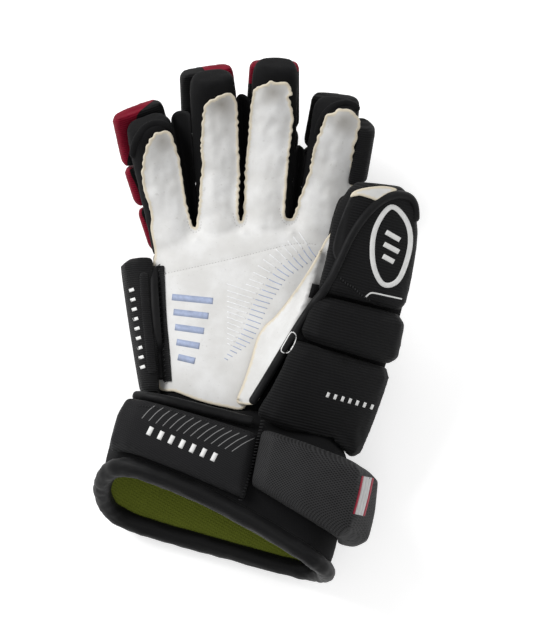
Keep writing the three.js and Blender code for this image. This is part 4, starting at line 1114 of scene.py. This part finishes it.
# %% [markdown]
# ## Side pad and flap
# The pad on the little finger's side has a raised rib along it. Next to it a flap is folded over the
# palm's edge: one half is a soft fold, the other a flat seam with slanted stitches.
# %% Side pad details
side_skin = skin(made["side_pad_cover"])
hand_under = skin(tubes["hand_shell"], palm)
rib = roll("side_pad_rib", [(143.8, 272), (144.5, 290), (146.5, 315), (149.5, 345), (152.3, 374)], 3.1, 1.6,
           [(side_skin, 0.3), (hand_under, 1.0)])
finished(rib, side_black, "black_cover")
flap_fold = roll("edge_flap_fold", [(153.5, 266), (153.8, 290), (155.5, 320), (158.3, 350), (161.5, 380)], 3.4, 2.2,
                 [(side_skin, 0.8), (hand_under, 1.8)])
finished(flap_fold, tape_black, "black_cover")
SEAM_BAND = [(159.3, 265.5), (160, 290), (161.5, 320), (164.2, 350), (166.5, 381)]
edge_flap = bands("edge_flap", [SEAM_BAND], 7.5, [(hand_under, 2.6), (side_skin, 1.4)], thick=1.6)
modify(edge_flap, "BEVEL", width=0.0004, segments=2)
finished(edge_flap, side_black, "black_cover", "side_flap")
flap_threads = stitches("edge_flap_threads", [[(u - 0.6, v) for u, v in SEAM_BAND]], [(skin(edge_flap), 0.1)],
                        length=5, spacing=5.2, width=0.9, lean=50)
finished(flap_threads, black_thread, "black_cover")
print("side pad done")

# %% [markdown]
# ## Padded ridges on two fingertips
# The little finger and the index have an extra roll of padding round the top of the front.
# %% Fingertip ridges
RIDGES = {
    "pinky": [(133, 158), (134, 147), (138, 137), (145, 128), (155, 123.5), (165, 125), (172, 130)],
    "index": [(317, 135), (320, 124), (326, 113), (335, 106), (346, 103.5), (354, 106), (359, 111)],
}
for finger, line in RIDGES.items():
    ridge = roll(f"{finger}_tip_ridge", line, 2.7, 1.9, [(skin(tubes[f"{finger}_stall"]), 0.2)])
    finished(ridge, soft_black, "mesh_fabric")
print("ridges:", len(RIDGES))

# %% [markdown]
# ## Stitches
# Pale dotted stitches hold the palm's lining, and black ones join the plates and the flap.
# %% Stitches
palm_top = skin(palm)
thread_lines = [PALM_SEAM[::6], *(line[::5] for line in CROTCH_SEAMS)]
finished(stitches("palm_threads", thread_lines, [(palm_top, 0.02)], length=1.5, spacing=3.0, width=0.4), pale_thread,
         "white_leather")
flap_skin = skin(made["cuff_front_pad_cover"], made["cuff_thumb_pad_cover"])
FLAP_TOP = [(140, 406), (160, 408), (180, 413.5), (200, 419.5), (220, 425), (240, 430), (252, 433.5)]
FLAP_SIDE = [(262.7, 421), (258, 441), (253.5, 461), (247, 481), (240.6, 500)]
finished(stitches("flap_threads", [FLAP_TOP], [(flap_skin, 0.3)], length=1.8, spacing=3, width=0.7), black_thread,
         "black_cover")
finished(stitches("flap_side_threads", [FLAP_SIDE], [(flap_skin, 0.3)], length=5, spacing=3.2, width=0.9, lean=75),
         black_thread, "black_cover")
tip_skin = skin(guards["tip"])
THUMB_SEAM = [(340.8, 278.7), (347, 284), (353, 287.3), (361, 294.5), (369, 300)]
finished(stitches("thumb_threads", [THUMB_SEAM], [(tip_skin, 0.3)], length=3.2, spacing=3.0, width=1.1, lean=60),
         black_thread, "black_cover")
print("stitches done")

# %% [markdown]
# ## Prints
# The palm carries a fan of short silver-blue lines whose inner halves are raised and clear. The other
# marks are plain stripes and frames, which name nothing. A print is a band a few hundredths of a
# millimetre thick, so it follows every pucker of its carrier.
# %% Palm prints
FAN_ENDS = smooth_line([(228, 360), (240, 351), (250.6, 342.7), (257.5, 331), (262.7, 318.5), (270.6, 302),
                        (277.3, 292.4), (286.4, 279), (295, 272.5), (306, 265), (316, 257)], 5.6)
blue_lines, clear_lines = [], []
for i, (u, v) in enumerate(FAN_ENDS):
    share = i / (len(FAN_ENDS) - 1)
    tilt = math.radians(float(np.interp(share, [0, 0.5, 0.65, 0.85, 1], [28, 17, 22, 48, 60])))
    blue = float(np.interp(share, [0, 0.2, 0.5, 1], [4, 13, 15, 13]))
    bend = 2.0 * max(0, share - 0.4)
    ahead = np.array((math.cos(tilt), math.sin(tilt)))
    side = np.array((ahead[1], -ahead[0]))
    end = np.array((u, v))
    start = end - ahead * blue - side * bend
    blue_lines.append([start, (start + end) / 2 - side * bend * 0.4, end])
    clear = min(34, (start[0] - 228) / ahead[0]) if share < 0.6 else 16
    if clear > 4:
        clear_lines.append([start - ahead * (clear + 1) - side * bend, start - ahead * 1.5])
finished(bands("fan_print", blue_lines, 0.8, [(palm_top, 0.07)]), silver_print, "white_leather")
finished(bands("fan_relief", clear_lines, 0.9, [(palm_top, 0.12)], thick=0.1), pearl_print, "white_leather")

STRIPES = [[(172 + 1.5 * i, 297 + 15 * i), (213 - 4.5 * i, 301 + 15 * i)] for i in range(5)]
finished(bands("palm_stripes", STRIPES, 6.5, [(palm_top, 0.07)]), silver_print, "white_leather")
print("fan lines:", len(blue_lines), len(clear_lines))

# %% Marks on the covers
base_skin = skin(guards["base"], guards["middle"])
BADGE = [(391, 207), (407, 222), (410, 247), (399, 279), (383, 284), (373, 262), (375, 230)]
BADGE_BARS = [[(386, 232), (400, 240)], [(384, 244), (399, 252)], [(383, 256), (394, 262)]]
finished(bands("badge_frame", [BADGE], 5.0, [(tip_skin, 0.1)], thick=0.1, closed=True), white_print, "black_cover")
finished(bands("badge_bars", BADGE_BARS, 5.0, [(tip_skin, 0.1)], thick=0.1), white_print, "black_cover")
THIN_LINE = [(365.8, 297), (369.5, 293.8), (373.5, 293), (388, 296), (402, 299)]
finished(bands("thin_line", [THIN_LINE], 1.5, [(tip_skin, 0.1)], thick=0.1), white_print, "black_cover")


def ticks(start, end, count, half):
    """Short parallel lines at even steps between two places."""
    start, end, half = np.array(start, float), np.array(end, float), np.array(half, float)
    return [[start + (end - start) * i / (count - 1) - half, start + (end - start) * i / (count - 1) + half]
            for i in range(count)]


finished(bands("side_ticks", ticks((131.5, 290), (142.5, 367), 9, (2.4, -0.8)), 3.2, [(side_skin, 0.1)], thick=0.08),
         white_print, "black_cover")
finished(bands("flap_ticks", ticks((150, 431), (214, 457), 7, (2.0, -4.0)), 4.6, [(flap_skin, 0.1)], thick=0.08),
         white_print, "black_cover")
finished(bands("guard_ticks", ticks((328, 395), (372, 407), 7, (1.0, -2.4)), 2.8, [(base_skin, 0.1)], thick=0.08),
         white_print, "black_cover")
hatches = []
for i in range(14):
    share = i / 13
    start = np.array((141.8, 418.4)) + share * np.array((90, 33))
    hatches.append([start, start + (7 + 5 * share, -8), start + (14 + 9 * share, -13.5)])
finished(bands("flap_hatches", hatches, 0.8, [(flap_skin, 0.08)]), grey_print, "black_cover")
TAB = [(291.5, 332), (296.4, 336.5), (293, 346), (287.3, 353), (281, 350.5), (285.5, 341)]
finished(bands("tab_frame", [TAB], 1.0, [(skin(edge_roll, guards["base"], guards["middle"]), 0.1)], thick=0.1, closed=True),
         white_print, "binding")
mesh_skin = skin(made["cuff_thumb_pad_cover"])
PATCH_SIDES = [[(363, 476), (359, 495), (354, 514)], [(373, 478), (369, 497), (364, 516)]]
patch_lines = [[tuple(np.array(a) + (np.array(b) - a) * share) for a, b in zip(*PATCH_SIDES)] for share in (0.24, 0.5, 0.76)]
finished(bands("patch_field", patch_lines, 3.2, [(mesh_skin, 0.3)], thick=0.12), patch_grey, "black_cover")
finished(bands("patch_border", PATCH_SIDES, 2, [(mesh_skin, 0.4)], thick=0.15), patch_red, "black_cover")
print("marks done")
